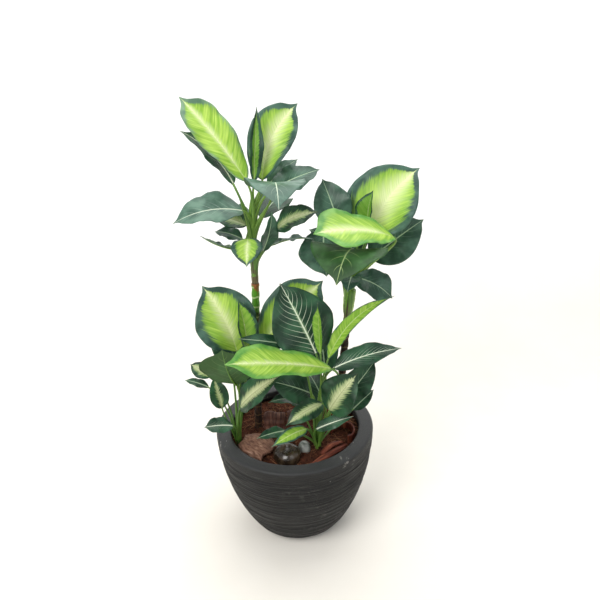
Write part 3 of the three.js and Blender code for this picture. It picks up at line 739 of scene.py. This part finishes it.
def blade(look, base, tip, width, face, arch, fold, wave, **more):
    # one leaf: its look, where the blade starts and ends, its width and the way its face points, how
    # far it arches, the fold at its midrib in degrees and the height of its waves. It may also have
    # sway, twist, the place of its widest part, its place on the stem (start), the share of its pale
    # middle and of the cream in it, how much painted shade darkens it, and small if it has no node of
    # its own
    return dict(look=look, base=base, tip=tip, width=width, face=face, arch=arch, fold=fold, wave=wave,
                **more)


leaves = {
    "tall_left": [
        blade("litSoftBright", (-86, 4, 1055), (-236, 50, 1257), 102, (0.35, -0.75, 0.55), 12, 14, 6,
              sway=2, widest=0.68, pale=0.93, cream=0.3),
        blade("veined", (-118, 0, 1050), (-240, 20, 1182), 62, (0.3, -0.45, 0.8), 10, 12, 4, sway=12,
              deep=0.5),
        blade("bright", (-48, 32, 1050), (50, 90, 1225), 124, (-0.1, -0.9, 0.4), 8, 20, 5, sway=-20,
              widest=0.6, pale=0.76, cream=0.55),
        blade("bright", (-68, 8, 1052), (-50, 46, 1226), 44, (0.5, -0.8, 0.2), 6, 30, 3, sway=-4,
              pale=0.5, cream=0.0, deep=0.7),
        blade("sheenGrey", (-26, -4, 1013), (-4, -190, 1030), 145, (0.1, -0.12, 1), 48, 4, 5, deep=0.1),
        blade("dark", (-22, 36, 1025), (100, 80, 1060), 90, (0, -0.5, 0.85), 6, 8, 5, deep=0.1),
        blade("dark", (-35, 60, 1030), (45, 130, 1080), 50, (-0.3, -0.8, 0.5), 8, 10, 3, small=True,
              deep=0.1),
        blade("sheenGrey", (-99, -10, 984), (-270, -50, 970), 115, (-0.1, -0.45, 0.9), 22, 10, 5, deep=0.1),
        blade("feather", (-95, 30, 935), (-185, 60, 955), 60, (0, -0.6, 0.8), 8, 10, 3, small=True,
              pale=0.5, cream=0.4, deep=0.5),
        blade("dark", (-110, 22, 900), (-185, 50, 915), 45, (0, -0.4, 0.9), 8, 10, 3, small=True,
              deep=0.1),
        blade("dark", (-115, 18, 875), (-215, -10, 925), 50, (0.1, 0.25, 1), -8, 10, 4, small=True,
              deep=0.1),
        blade("bright", (-92, -20, 914), (-94, -92, 864), 80, (0, -0.45, 0.9), 10, 4, 3, widest=0.4,
              small=True, pale=0.7, cream=0.3),
        blade("dark", (-58, -2, 872), (-26, -36, 985), 54, (0.6, -0.75, 0.2), 8, 15, 3, start=0.1,
              small=True, deep=0.5),
        blade("feather", (-20, 0, 930), (90, -20, 975), 78, (0, -0.55, 0.85), 14, 10, 4, start=0.1,
              pale=0.42, cream=0.4, deep=0.9),
        blade("dark", (-30, 14, 885), (76, 8, 895), 45, (0, 0.1, 1), 8, 10, 5, start=0.1, small=True,
              deep=0.1),
        blade("dark", (-98, 66, 925), (-190, 205, 905), 90, (-0.1, -0.2, 0.95), 26, 8, 5, deep=0.9),
        blade("dark", (-58, 55, 945), (14, 195, 955), 96, (0.1, -0.2, 0.95), 26, 8, 5, deep=0.9),
    ],
    "tall_right": [
        blade("bright", (226, 74, 876), (370, 128, 1042), 205, (-0.3, -0.8, 0.55), 14, 18, 6, sway=-14,
              widest=0.4, pale=0.76, cream=0.62),
        blade("bright", (222, 57, 910), (236, 58, 1004), 74, (-0.75, -0.6, 0.25), 6, 34, 2, pale=0.8,
              cream=0.0, deep=0.9),
        blade("limeRim", (284, 2, 892), (72, -104, 944), 140, (0, -0.42, 0.9), 20, 6, 5, widest=0.76,
              pale=0.8, cream=0.35),
        blade("matte", (187, -26, 869), (120, -172, 837), 194, (-0.2, -0.5, 0.8), 40, 6, 4, deep=0.25),
        blade("dark", (150, 70, 905), (108, 130, 1025), 104, (0, -0.9, 0.4), 8, 10, 4, deep=0.25),
        blade("dark", (235, 90, 806), (384, 118, 902), 130, (0.1, -0.8, 0.6), 14, 8, 5, deep=0.25),
        blade("dark", (104, 40, 912), (106, -8, 796), 132, (-0.25, -0.85, 0.4), 14, 8, 5, widest=0.5,
              start=0.1, deep=0.25),
        blade("dark", (140, 60, 865), (65, 80, 900), 50, (0, -0.6, 0.8), 6, 8, 3, small=True,
              deep=0.25),
        blade("dark", (180, 20, 780), (280, -10, 725), 88, (0.1, -0.6, 0.8), 20, 8, 4, widest=0.58,
              deep=0.25),
        blade("dark", (175, 10, 785), (155, -60, 770), 60, (0, -0.5, 0.85), 15, 6, 3, small=True,
              deep=0.25),
        blade("bright", (200, 92, 866), (240, 270, 930), 112, (0, -0.2, 0.95), 30, 8, 6, deep=0.4),
        blade("dark", (176, 70, 812), (192, 205, 838), 96, (0, -0.5, 0.8), 24, 8, 4, deep=0.25),
    ],
    "low_left": [
        blade("bright", (-142, -62, 615), (-220, -30, 795), 165, (0.1, -0.8, 0.6), 14, 14, 6, sway=10,
              widest=0.5, pale=0.72, cream=0.38),
        blade("bright", (-112, -78, 635), (-125, -68, 770), 70, (0.6, -0.8, 0.2), 6, 34, 3, pale=0.8,
              cream=0.02, deep=0.6),
        blade("bright", (-77, -36, 622), (97, 14, 776), 140, (-0.2, -0.85, 0.45), 25, 10, 6, twist=10,
              widest=0.6, pale=0.8, cream=0.4),
        blade("olive", (-150, -80, 525), (-174, -112, 648), 150, (0, 0.75, 0.65), -18, 6, 4, widest=0.7,
              deep=0.8),
        blade("feather", (-230, 0, 505), (-290, 30, 530), 50, (0.3, -0.7, 0.6), 8, 8, 3, small=True,
              pale=0.55, cream=0.5, deep=0.3),
        blade("dark", (-240, 0, 470), (-310, 20, 485), 30, (0, -0.3, 1), 5, 8, 2, small=True, deep=0.8),
        blade("feather", (-200, -50, 430), (-220, -20, 515), 55, (0.3, -0.8, 0.5), 8, 10, 3, small=True,
              pale=0.3, cream=0.3, deep=0.8),
        blade("veined", (-170, -80, 390), (-245, -110, 410), 50, (0, -0.5, 0.85), 8, 8, 4, widest=0.58,
              deep=0.6),
        blade("feather", (-145, -80, 450), (-20, -160, 595), 85, (-0.3, -0.6, 0.75), 14, 12, 4,
              pale=0.4, cream=0.7, deep=0.8),
        blade("dark", (-140, -40, 460), (-90, -60, 560), 60, (0, -0.8, 0.5), 6, 8, 3, small=True,
              deep=0.8),
        blade("dark", (-170, 10, 520), (-205, 150, 590), 90, (0, -0.3, 0.95), 22, 8, 5, deep=0.8),
        blade("feather", (-132, 48, 470), (-50, 135, 520), 75, (0, -0.3, 0.95), 18, 8, 4),
    ],
    "low_right": [
        blade("veined", (69, -81, 606), (-18, -33, 794), 168, (0.15, -0.85, 0.5), 14, 10, 5, deep=0.8),
        blade("limeRim", (107, -122, 582), (-156, -217, 662), 110, (0, -0.32, 0.95), 12, 8, 6,
              widest=0.76, pale=0.82, cream=0.25),
        blade("bright", (80, -92, 610), (77, -96, 760), 34, (-0.5, -0.8, 0), 0, 36, 0, widest=0.6,
              pale=1.0, cream=0.0, deep=0.5),
        blade("bright", (100, -90, 595), (280, -50, 750), 45, (0.4, -0.4, 0.8), 12, 34, 4, sway=-26,
              widest=0.32, pale=0.95, cream=0.08, deep=0.2),
        blade("veined", (115, -80, 560), (300, -60, 600), 72, (0, -0.4, 0.9), 14, 12, 4, deep=0.6),
        blade("feather", (97, -128, 458), (174, -136, 574), 108, (-0.3, -0.75, 0.6), 12, 10, 5,
              pale=0.36, cream=0.5, deep=0.9),
        blade("dark", (145, -50, 440), (235, -20, 545), 80, (0.1, -0.8, 0.5), 10, 10, 4, deep=0.8),
        blade("dark", (170, -20, 385), (235, 10, 430), 40, (0.1, -0.7, 0.7), 6, 8, 3, small=True,
              deep=0.8),
        blade("veined", (60, -128, 400), (160, -148, 450), 38, (0, -0.6, 0.8), 8, 10, 3, small=True,
              deep=0.6),
        blade("feather", (80, -110, 470), (-20, -170, 445), 60, (0.1, -0.5, 0.85), 16, 8, 4, pale=0.4,
              cream=0.5, deep=0.9),
        blade("dark", (50, -50, 466), (-60, -84, 532), 90, (0, -0.7, 0.7), 12, 8, 4, deep=0.8),
        blade("dark", (15, -70, 440), (-65, -110, 480), 45, (0, -0.3, 1), 20, 8, 3, small=True,
              deep=0.8),
        blade("bright", (35, -110, 390), (-60, -190, 395), 40, (0.1, -0.5, 0.85), 15, 8, 3, pale=0.75,
              cream=0.1, deep=0.2),
        blade("dark", (-25, -100, 380), (-100, -150, 395), 35, (0, -0.5, 0.85), 6, 8, 3, small=True,
              deep=0.8),
        blade("dark", (-8, -72, 634), (-130, -124, 684), 40, (0, -0.75, 0.65), 8, 6, 3, deep=0.8),
        blade("dark", (94, -40, 520), (78, 120, 600), 90, (0.1, -0.4, 0.9), 22, 8, 5, deep=0.8),
        blade("dark", (88, -50, 430), (40, 70, 470), 70, (0, -0.3, 0.95), 16, 8, 4, deep=0.8),
    ],
}


def makeDraw(seed):
    # the same repeatable draw as the solids use
    state = [seed]

    def draw():
        state[0] = (state[0] * 1664525 + 1013904223) % 4294967296
        return state[0] / 4294967296

    return draw


def outline(t, widest):
    if t < widest:
        return (1 - (1 - t / widest) ** 2) ** 0.62
    s = (t - widest) / (1 - widest)
    return (1 - s ** 1.9) ** 1.1


def midribOf(leaf):
    base, tip = Vector(leaf["base"]), Vector(leaf["tip"])
    along = (tip - base).normalized()
    face = Vector(leaf["face"])
    face = (face - along * face.dot(along)).normalized()
    side = along.cross(face)
    middle = base.lerp(tip, 0.5) + face * 2 * leaf["arch"] + side * 2 * leaf.get("sway", 0)

    def point(t):
        return base * (1 - t) ** 2 + middle * 2 * t * (1 - t) + tip * t ** 2

    def tangent(t):
        return ((middle - base) * (1 - t) + (tip - middle) * t).normalized()

    return point, tangent, face


def bladePlace(leaf, midrib, t, u):
    # a point of the blade, and how far it is from the midrib
    point, tangent, face = midrib
    along = tangent(t)
    up = (face - along * face.dot(along)).normalized()
    up = Quaternion(along, math.radians(leaf.get("twist", 0) * t)) @ up
    side = along.cross(up)
    share = outline(t, leaf.get("widest", bladeShape["widest"]))
    pinch = 1 - 0.4 * smoothStep(t, 0.86, 0.95) * (1 - 0.5 * smoothStep(t, 0.985, 1.0))
    half = max(leaf["width"] / 2 * share * pinch, 1.6 if t < 0.5 else 0.25)
    fold = math.radians(leaf["fold"])
    phase = leaf["phase"]
    hand = 0.37 if u < 0 else 0
    ripple = leaf["wave"] * math.sin(2 * math.pi * (2.3 * t + phase + hand))
    fine = leaf["wave"] * bladeShape["fineWave"]
    fine *= math.sin(2 * math.pi * (6.3 * t + 2.7 * phase + 1.9 * hand)) * abs(u) ** 3
    fine += 0.06 * leaf["wave"] * math.sin(2 * math.pi * (13.1 * t + 5 * phase + hand)) * abs(u) ** 6
    rise = half * abs(u) * math.sin(fold) + (ripple * u * u + fine) * share
    rise -= 0.6 * math.exp(-((half * u / 2.6) ** 2)) * (1 - t)
    # the blade swells a little between its side veins
    vein = t - 0.30 * abs(u) - 0.10 * u * u
    rise += 0.9 * math.cos(2 * math.pi * bladeShape["veins"] * vein) * share * abs(u) * (1 - abs(u))
    return point(t) + side * (half * u * math.cos(fold)) + up * rise, half * u


def makeBlade(name, node, leaf, number):
    midrib = midribOf(leaf)
    length = (Vector(leaf["tip"]) - Vector(leaf["base"])).length
    little = length < bladeShape["little"]
    bm = bmesh.new()
    share = newLayer(bm, "bladeShare")
    real = newLayer(bm, "bladeReal")
    tone = newLayer(bm, "bladeTone")
    stem = newLayer(bm, "stem")
    look = bladeColours[leaf["look"]]
    paleShare = leaf.get("pale", look["pale"])
    creamShare = leaf.get("cream", look["creamShare"])
    seed = number * 1.37
    fewer = 0.7 if little else 1
    bmesh.ops.create_grid(bm, x_segments=round(bladeShape["columns"] * fewer),
                          y_segments=round(bladeShape["rows"] * fewer), size=1)
    for v in bm.verts:
        u, t = v.co.x, (v.co.y + 1) / 2
        u = math.copysign(abs(u) ** 1.15, u)
        place, across = bladePlace(leaf, midrib, t, u)
        v.co = place * mm
        v[share] = (u, t, seed)
        v[real] = (across * mm, t * length * mm, seed)
        # its pale share, its cream share, and how much painted shade darkens it
        v[tone] = (paleShare, creamShare, leaf.get("deep", 0))
    bm.normal_update()
    upright = {tuple(round(c, 4) for c in v[share]): v.normal.copy() for v in bm.verts}
    # the grid becomes the under side, and a raised copy the upper side
    under = bm.faces[:]
    underVerts = bm.verts[:]
    made = bmesh.ops.extrude_face_region(bm, geom=under, use_keep_orig=True)
    upperVerts = [v for v in made["geom"] if isinstance(v, bmesh.types.BMVert)]
    for verts, lift in ((upperVerts, 0.5), (underVerts, -0.5)):
        for v in verts:
            v.co += upright[tuple(round(c, 4) for c in v[share])] * lift * bladeShape["thick"] * mm
    bmesh.ops.reverse_faces(bm, faces=under)
    for face in under:
        face.material_index = 1
    # the midrib stands out below and carries on from the stalk
    _, tangent, face = midrib
    thin = 0.65 if little else 1
    ribSteps = bladeShape["ribSteps"]

    def ribRadius(s):
        return stalkShape["rib"] * thin * (1 - s) ** 0.8 + 0.35

    path = []
    for i in range(ribSteps + 1):
        t = bladeShape["ribEnd"] * i / ribSteps
        place, _ = bladePlace(leaf, midrib, t, 0)
        down = face - tangent(t) * face.dot(tangent(t))
        path.append((place - down.normalized() * (ribRadius(i / ribSteps) - 0.2)) * mm)
    addRod(bm, stem, path, lambda s: ribRadius(s) * mm, bladeShape["ribSides"], materialIndex=2,
           seed=1 + 0.3 * number)
    # an edge that would stand outside the solid's box brings its blade back by that much
    inset = bladeShape["inset"] * mm
    for axis in range(3):
        places = [v.co[axis] for v in bm.verts]
        below = cadLow[axis] + inset - min(places)
        above = max(places) - cadHigh[axis] + inset
        nudge = Vector((0, 0, 0))
        nudge[axis] = max(0, below) - max(0, above)
        bmesh.ops.translate(bm, verts=bm.verts, vec=nudge)
    finishPiece(bm, name, bladeMaterials[leaf["look"]] + [stalkGreen], look["slot"], [node])


def bezier(points, t):
    a, b, c, d = points
    return a * (1 - t) ** 3 + b * 3 * t * (1 - t) ** 2 + c * 3 * t * t * (1 - t) + d * t ** 3


def channel(share, x, y):
    # a stalk is flatter and hollowed on its inner side
    if y > 0:
        y *= 0.72
        y -= 0.34 * math.exp(-((x / 0.42) ** 2)) * (1 - smoothStep(share, 0.75, 1.0))
    return x * 1.08, y


def makeStems(node, name, head):
    foot, top = Vector(head["foot"]), Vector(head["top"])
    low, middle, high = head["radii"]
    length = (top - foot).length
    bm = bmesh.new()
    layer = newLayer(bm, "stem")

    def columnRadius(share):
        swell = smoothStep(share, 0.28, 0.46) * (1 - smoothStep(share, 0.5, 1.0))
        base = low + (high - low) * smoothStep(share, 0.4, 1.0)
        step = (share * length / columnShape["sheathSpacing"]) % 1
        return (base + (middle - low + 1.0) * swell + 0.9 * (step - 0.5) - 0.5) * mm

    steps = columnShape["steps"]
    path = [foot.lerp(top, i / steps) * mm for i in range(steps + 1)]
    addRod(bm, layer, path, columnRadius, columnShape["sides"])
    draw = makeDraw(head["seed"])
    stemLine = (top - foot).normalized()
    for number, leaf in enumerate(leaves[name], 1):
        leaf["phase"] = draw()
        small = leaf.get("small", False)
        share = leaf["start"] if "start" in leaf else head["lowest"] + (0.95 - head["lowest"]) * draw()
        start = foot.lerp(top, share)
        base = Vector(leaf["base"])
        aside = base - start
        aside.z = 0
        start += aside.normalized() * head["spread"]
        reach = (base - start).length
        _, tangent, face = midribOf(leaf)
        out = tangent(0)
        end = base + out * 3 - face * 0.8
        corners = (start, start + stemLine * head["rise"] * reach, end - out * 0.3 * reach, end)
        steps = stalkShape["steps"]
        path = [bezier(corners, i / steps) * mm for i in range(steps + 1)]
        thin = 0.72 if small else 1
        thick = stalkShape["radius"] * thin
        sheath = head["sheath"] * thin
        wrap = head["wrap"]

        def radiusAt(t, thick=thick, sheath=sheath, wrap=wrap):
            return (thick * (1 - 0.2 * t) + (sheath - thick) * max(0, 1 - (t / wrap) ** 2)) * mm

        addRod(bm, layer, path, radiusAt, stalkShape["sides"], flatten=channel, seed=number * 0.7)
        bladeNode = node if small else f"leaf_{name}_{number:02d}"
        makeBlade(f"blade_{name}_{number:02d}", bladeNode, leaf, number + len(name))
    finishPiece(bm, f"stalks_{name}", [stalkGreen], "stem_green", [node])


def makeStalkGreen():
    material, shader = newMaterial("stalkGreen", 0.42, 0.45)
    whole = stored(material, "stem")
    along = partsOf(whole)[2]
    streak = noiseOf(scaled(whole, (3.2, 3.2, 7)), 1.0, 4, 0.6)
    fleck = noiseOf(scaled(whole, (2.2, 2.2, 120)), 1.0, 3, 0.6)
    cloud = noiseOf(objectPlace(material), 9, 2)
    base = mix(ease(streak, 0.35, 0.65), "#365f1d", "#8bb04c")
    base = mix(ease(cloud, 0.42, 0.62, 0, 0.7), base, "#466f2a")
    base = mix(ease(fleck, 0.62, 0.74, 0, 0.4), base, "#b9cf82")
    # brown scale leaves where a head grows out of its cane
    husk = mix(ease(streak, 0.35, 0.65), "#3f3326", "#7d7250")
    low = along + (streak - 0.5) * 0.22
    base = mix(ease(low, 0.012, 0.07, 1, 0), base, husk)
    painted(shader, base, streak, 0.35, 0.0012)
    return material


def makeBladeMaterial(name, look, under=False):
    # look: the feathering of the pale middle, its colours, the edge colours, veins and gloss
    material, shader = newMaterial(name, look["roughness"] + (0.14 if under else 0), 0.34)
    u, t, seed = partsOf(stored(material, "bladeShare"))
    real = stored(material, "bladeReal")
    across, along, _ = partsOf(real)
    # the share of the pale middle and of the cream, and how much painted shade darkens the leaf
    pale, creamShare, deep = partsOf(stored(material, "bladeTone"))
    side = combined("SIGN", u)
    hand = side * 3.1 + seed
    absU = abs(u)
    absD = abs(across)
    # a line of equal level is a side vein: it leaves the midrib and bends towards the tip
    level = along - absD * (absD * 5.0 + 0.75)

    def veinNoise(fineness, stretch, detail, roughness=0.5):
        return noiseOf(join(level * fineness, hand, absD * stretch), 1.0, detail, roughness)

    comb = veinNoise(300, 16, 3, 0.6)
    lobe = veinNoise(55, 9, 1)
    streak = veinNoise(130, 14, 3, 0.6)
    cloud = noiseOf(real, 26, 3)
    edge = (comb - 0.5) * look["comb"] + (lobe - 0.5) * look["lobe"]
    # the pale middle narrows towards the tip and at the stalk
    taper = ease(t, 0.72, 1.0, 1, 0) * ease(t, 0.0, 0.12, 0.7, 1)
    depth = edge + pale * taper - absU
    inside = ease(depth, -look["soft"], look["soft"] + 0.03)
    # the edge zone; on the leaves that stand in the shade it is darkened to a deeper green, which is
    # painted shade
    rim = mix(ease(cloud, 0.35, 0.7), look["rimDark"], look["rimPale"])
    rim = mix(ease(streak, 0.5, 0.75, 0, 0.3), rim, look["rimPale"])
    deepRim = mix(ease(cloud, 0.35, 0.7), "#0b2b16", "#245230")
    rim = mix(deep, rim, deepRim)
    # the pale middle: lime towards the edge and the stalk, cream along the midrib
    toCream = absU + (streak - 0.5) * 0.5
    lime = mix(ease(streak, 0.35, 0.7), look["limeDeep"], look["limePale"])
    lime = mix(ease(depth, 0.0, 0.35, 0.55, 0), lime, look["limeEdge"])
    # painted shade: on the leaves that stand in the shade the lime middle is darkened as well
    lime = mix(deep * look["limeShade"], lime, look["limeDark"])
    cream = ease(toCream, creamShare, -0.12, 0, 1) * ease(t, look["creamFrom"], look["creamFrom"] + 0.25)
    middle = mix(cream, lime, look["cream"])
    veinlet = abs(combined("FRACT", level * 120 + lobe * 1.8) - 0.5)
    line = ease(veinlet, 0.09, 0.02, 0, 1) * ease(comb, 0.35, 0.6)
    middle = mix(line * look["veinlets"], middle, look["veinlet"])
    fleck = veinNoise(420, 60, 2, 0.7)
    flecks = ease(fleck, 0.56, 0.68) * (ease(depth, 0.35, 0.0, 0, 1) * 0.7)
    middle = mix(flecks, middle, rim)
    base = mix(inside, rim, middle)
    # side veins and midrib
    pair = t - absU * (absU * 0.10 + 0.30)
    off = abs(combined("FRACT", pair * look["pairs"] + side * 0.12) - 0.5)
    width = (1.0 - absU) * look["veinWidth"] + 0.012
    fade = ease(absU, look["veinTo"], 0.1, 0, 1) * ease(t, 0.97, 0.8)
    veins = ease(off / width, 0.35, 1.0, 1, 0) * fade
    base = mix(veins * look["veins"], base, look["vein"])
    ribWidth = (1.0 - t) * 0.0024 + 0.0005
    rib = ease(absD / ribWidth, 0.4, 1.1, 1, 0)
    base = mix(rib * look["rib"], base, look["ribTone"])
    if under:
        base = mix(0.42, base, look["under"])
    relief = streak * 0.5 - (veins * 0.4 + rib * look["ribRelief"])
    painted(shader, base, relief, 0.45, -0.0014 if under else 0.0014)
    return material


plainBlade = dict(
    slot="leaf_dark",
    pale=0.02, creamShare=0.3, comb=0.10, lobe=0.05, soft=0.03, creamFrom=0.1, cream="#a9c39b",
    limeDeep="#6d8f66", limePale="#8dab80", limeEdge="#6d8f66", limeDark="#4f7a3a", limeShade=0.5,
    rimDark="#2b4b3c", rimPale="#4d6f5d", veinlets=0.2, veinlet="#55775a", pairs=8, veins=0.3,
    veinWidth=0.045, veinTo=0.7, vein="#9dbb9c", rib=0.75, ribTone="#b3cba8", ribRelief=0.5,
    under="#6c8a66", roughness=0.36)
brightBlade = dict(
    plainBlade, slot="leaf_bright",
    pale=0.74, creamShare=0.25, comb=0.46, lobe=0.26, soft=0.06, creamFrom=0.05,
    cream="#e0e9b0", limeDeep="#80ad33", limePale="#b3d35c", limeEdge="#6c9b30",
    limeDark="#46841a", limeShade=0.8, rimDark="#26453a", rimPale="#4a6b5b", veinlets=0.55,
    veinlet="#7f9f4a", veins=0.06, veinTo=0.9, vein="#dbe3a8", rib=0.3, ribTone="#dfe8b0",
    ribRelief=0.1, under="#8fae52", roughness=0.42)
bladeColours = {
    "dark": plainBlade,
    # paler edge colours that are painted sheen and top light on leaves that face up; the paler veins and
    # rib are the leaf's own
    "sheenGrey": dict(plainBlade, rimDark="#3f5f50", rimPale="#688977", veins=0.35, vein="#bccfbb",
                 rib=0.95, ribTone="#dbe6cf"),
    "veined": dict(plainBlade, veins=0.85, veinWidth=0.07, veinTo=0.85, pairs=12, vein="#cfdcc2",
                   rib=1.0, ribTone="#e4ecd6", comb=0.16, pale=0.06),
    "matte": dict(plainBlade, rimDark="#27481f", rimPale="#3f6833", veins=0.5, veinTo=0.55, pairs=6,
                  vein="#a9c27c", ribTone="#b8cf86", roughness=0.5),
    "olive": dict(plainBlade, rimDark="#1c3414", rimPale="#3a5526", veins=0.5, veinTo=1.0, pairs=7,
                  vein="#83995f", ribTone="#8f9d63", under="#46662f", roughness=0.5),
    "bright": brightBlade,
    # softer feathering of its own, and paler edge colours that are painted light on a leaf that the lamp
    # falls on
    "litSoftBright": dict(brightBlade, rimDark="#4d7058", rimPale="#7fa07a", soft=0.1),
    "limeRim": dict(brightBlade, rimDark="#4c8a36", rimPale="#7fb257", soft=0.12),
    "feather": dict(
        plainBlade, slot="leaf_feather",
        pale=0.4, creamShare=0.5, comb=1.0, lobe=0.2, soft=0.08, creamFrom=-0.1,
        cream="#c9cda0", limeDeep="#7f9a58", limePale="#aebb80", limeEdge="#5d7d48",
        limeDark="#5d7d48", limeShade=0.4, rimDark="#1a3a26", rimPale="#33583f", veinlets=0.6,
        veinlet="#5f7d4b", veins=0.08, veinTo=0.9, vein="#c9d7a0", rib=0.45, ribTone="#6a7a4a",
        ribRelief=0.3, under="#6f8f5c", roughness=0.42),
}


# floor and backdrop
sweep = {"front": -4.0, "wall": 1.7, "bend": 1.1, "wide": 12, "high": 6, "steps": 24}


def makeSweep():
    material, shader = newMaterial("paleFloor", 0.75, 0.2)
    place = objectPlace(material)
    floorTone = mix(noiseOf(place, 5, 4), "#f1ece2", "#f8f4ec")
    feed(shader.inputs["Base Color"], mix(ease(partsOf(place)[2], 0.0, 0.7), floorTone, "#fbfcfc"))
    left, bend = -sweep["wide"] / 2, sweep["bend"]
    points = [(sweep["front"], 0), (sweep["wall"] - bend, 0)]
    for i in range(1, sweep["steps"] + 1):
        angle = math.pi / 2 * i / sweep["steps"]
        points.append((sweep["wall"] - bend * (1 - math.sin(angle)), bend * (1 - math.cos(angle))))
    points.append((sweep["wall"], sweep["high"]))
    bm = bmesh.new()
    verts = [bm.verts.new((left, y, z)) for y, z in points]
    edges = [bm.edges.new(pair) for pair in zip(verts, verts[1:])]
    made = bmesh.ops.extrude_edge_only(bm, edges=edges)
    far = [v for v in made["geom"] if isinstance(v, bmesh.types.BMVert)]
    bmesh.ops.translate(bm, verts=far, vec=(sweep["wide"], 0, 0))
    bmesh.ops.recalc_face_normals(bm, faces=bm.faces[:])
    newObject(bm, "studioSweep", [material])


# putting it together
print("floor")
makeSweep()

print("planter")
makePlanter(makePotPlastic())

print("filling, bark and stones")
makeFilling(makeCoir())
makeStrands([makeStrandMaterial("strandDark", "#3a2016", "#6b3f2a"),
             makeStrandMaterial("strandPale", "#7d4f33", "#b98a63")])
for node, spec in stones.items():
    makeStone(node, spec, makeStoneMaterial(spec["material"], *spec["colours"]))
barkMaterials = {slot: makeBarkMaterial(*look) for slot, look in barkLooks.items()}
for node, spec in barkPieces.items():
    makeBark(node, spec, barkMaterials[spec["slot"]])
makeBarkCurl(barkMaterials["red_bark"])

print("canes")
for node, spec in canes.items():
    makeCane(node, spec, makeCaneMaterial(spec["piece"], *spec["bark"]))

print("leaves and stalks")
stalkGreen = makeStalkGreen()
bladeMaterials = {look: [makeBladeMaterial(look + "Leaf", bladeColours[look]),
                         makeBladeMaterial(look + "LeafUnder", bladeColours[look], True)]
                  for look in bladeColours}
for name, head in heads.items():
    makeStems(f"stems_{name}", name, head)

print("done")
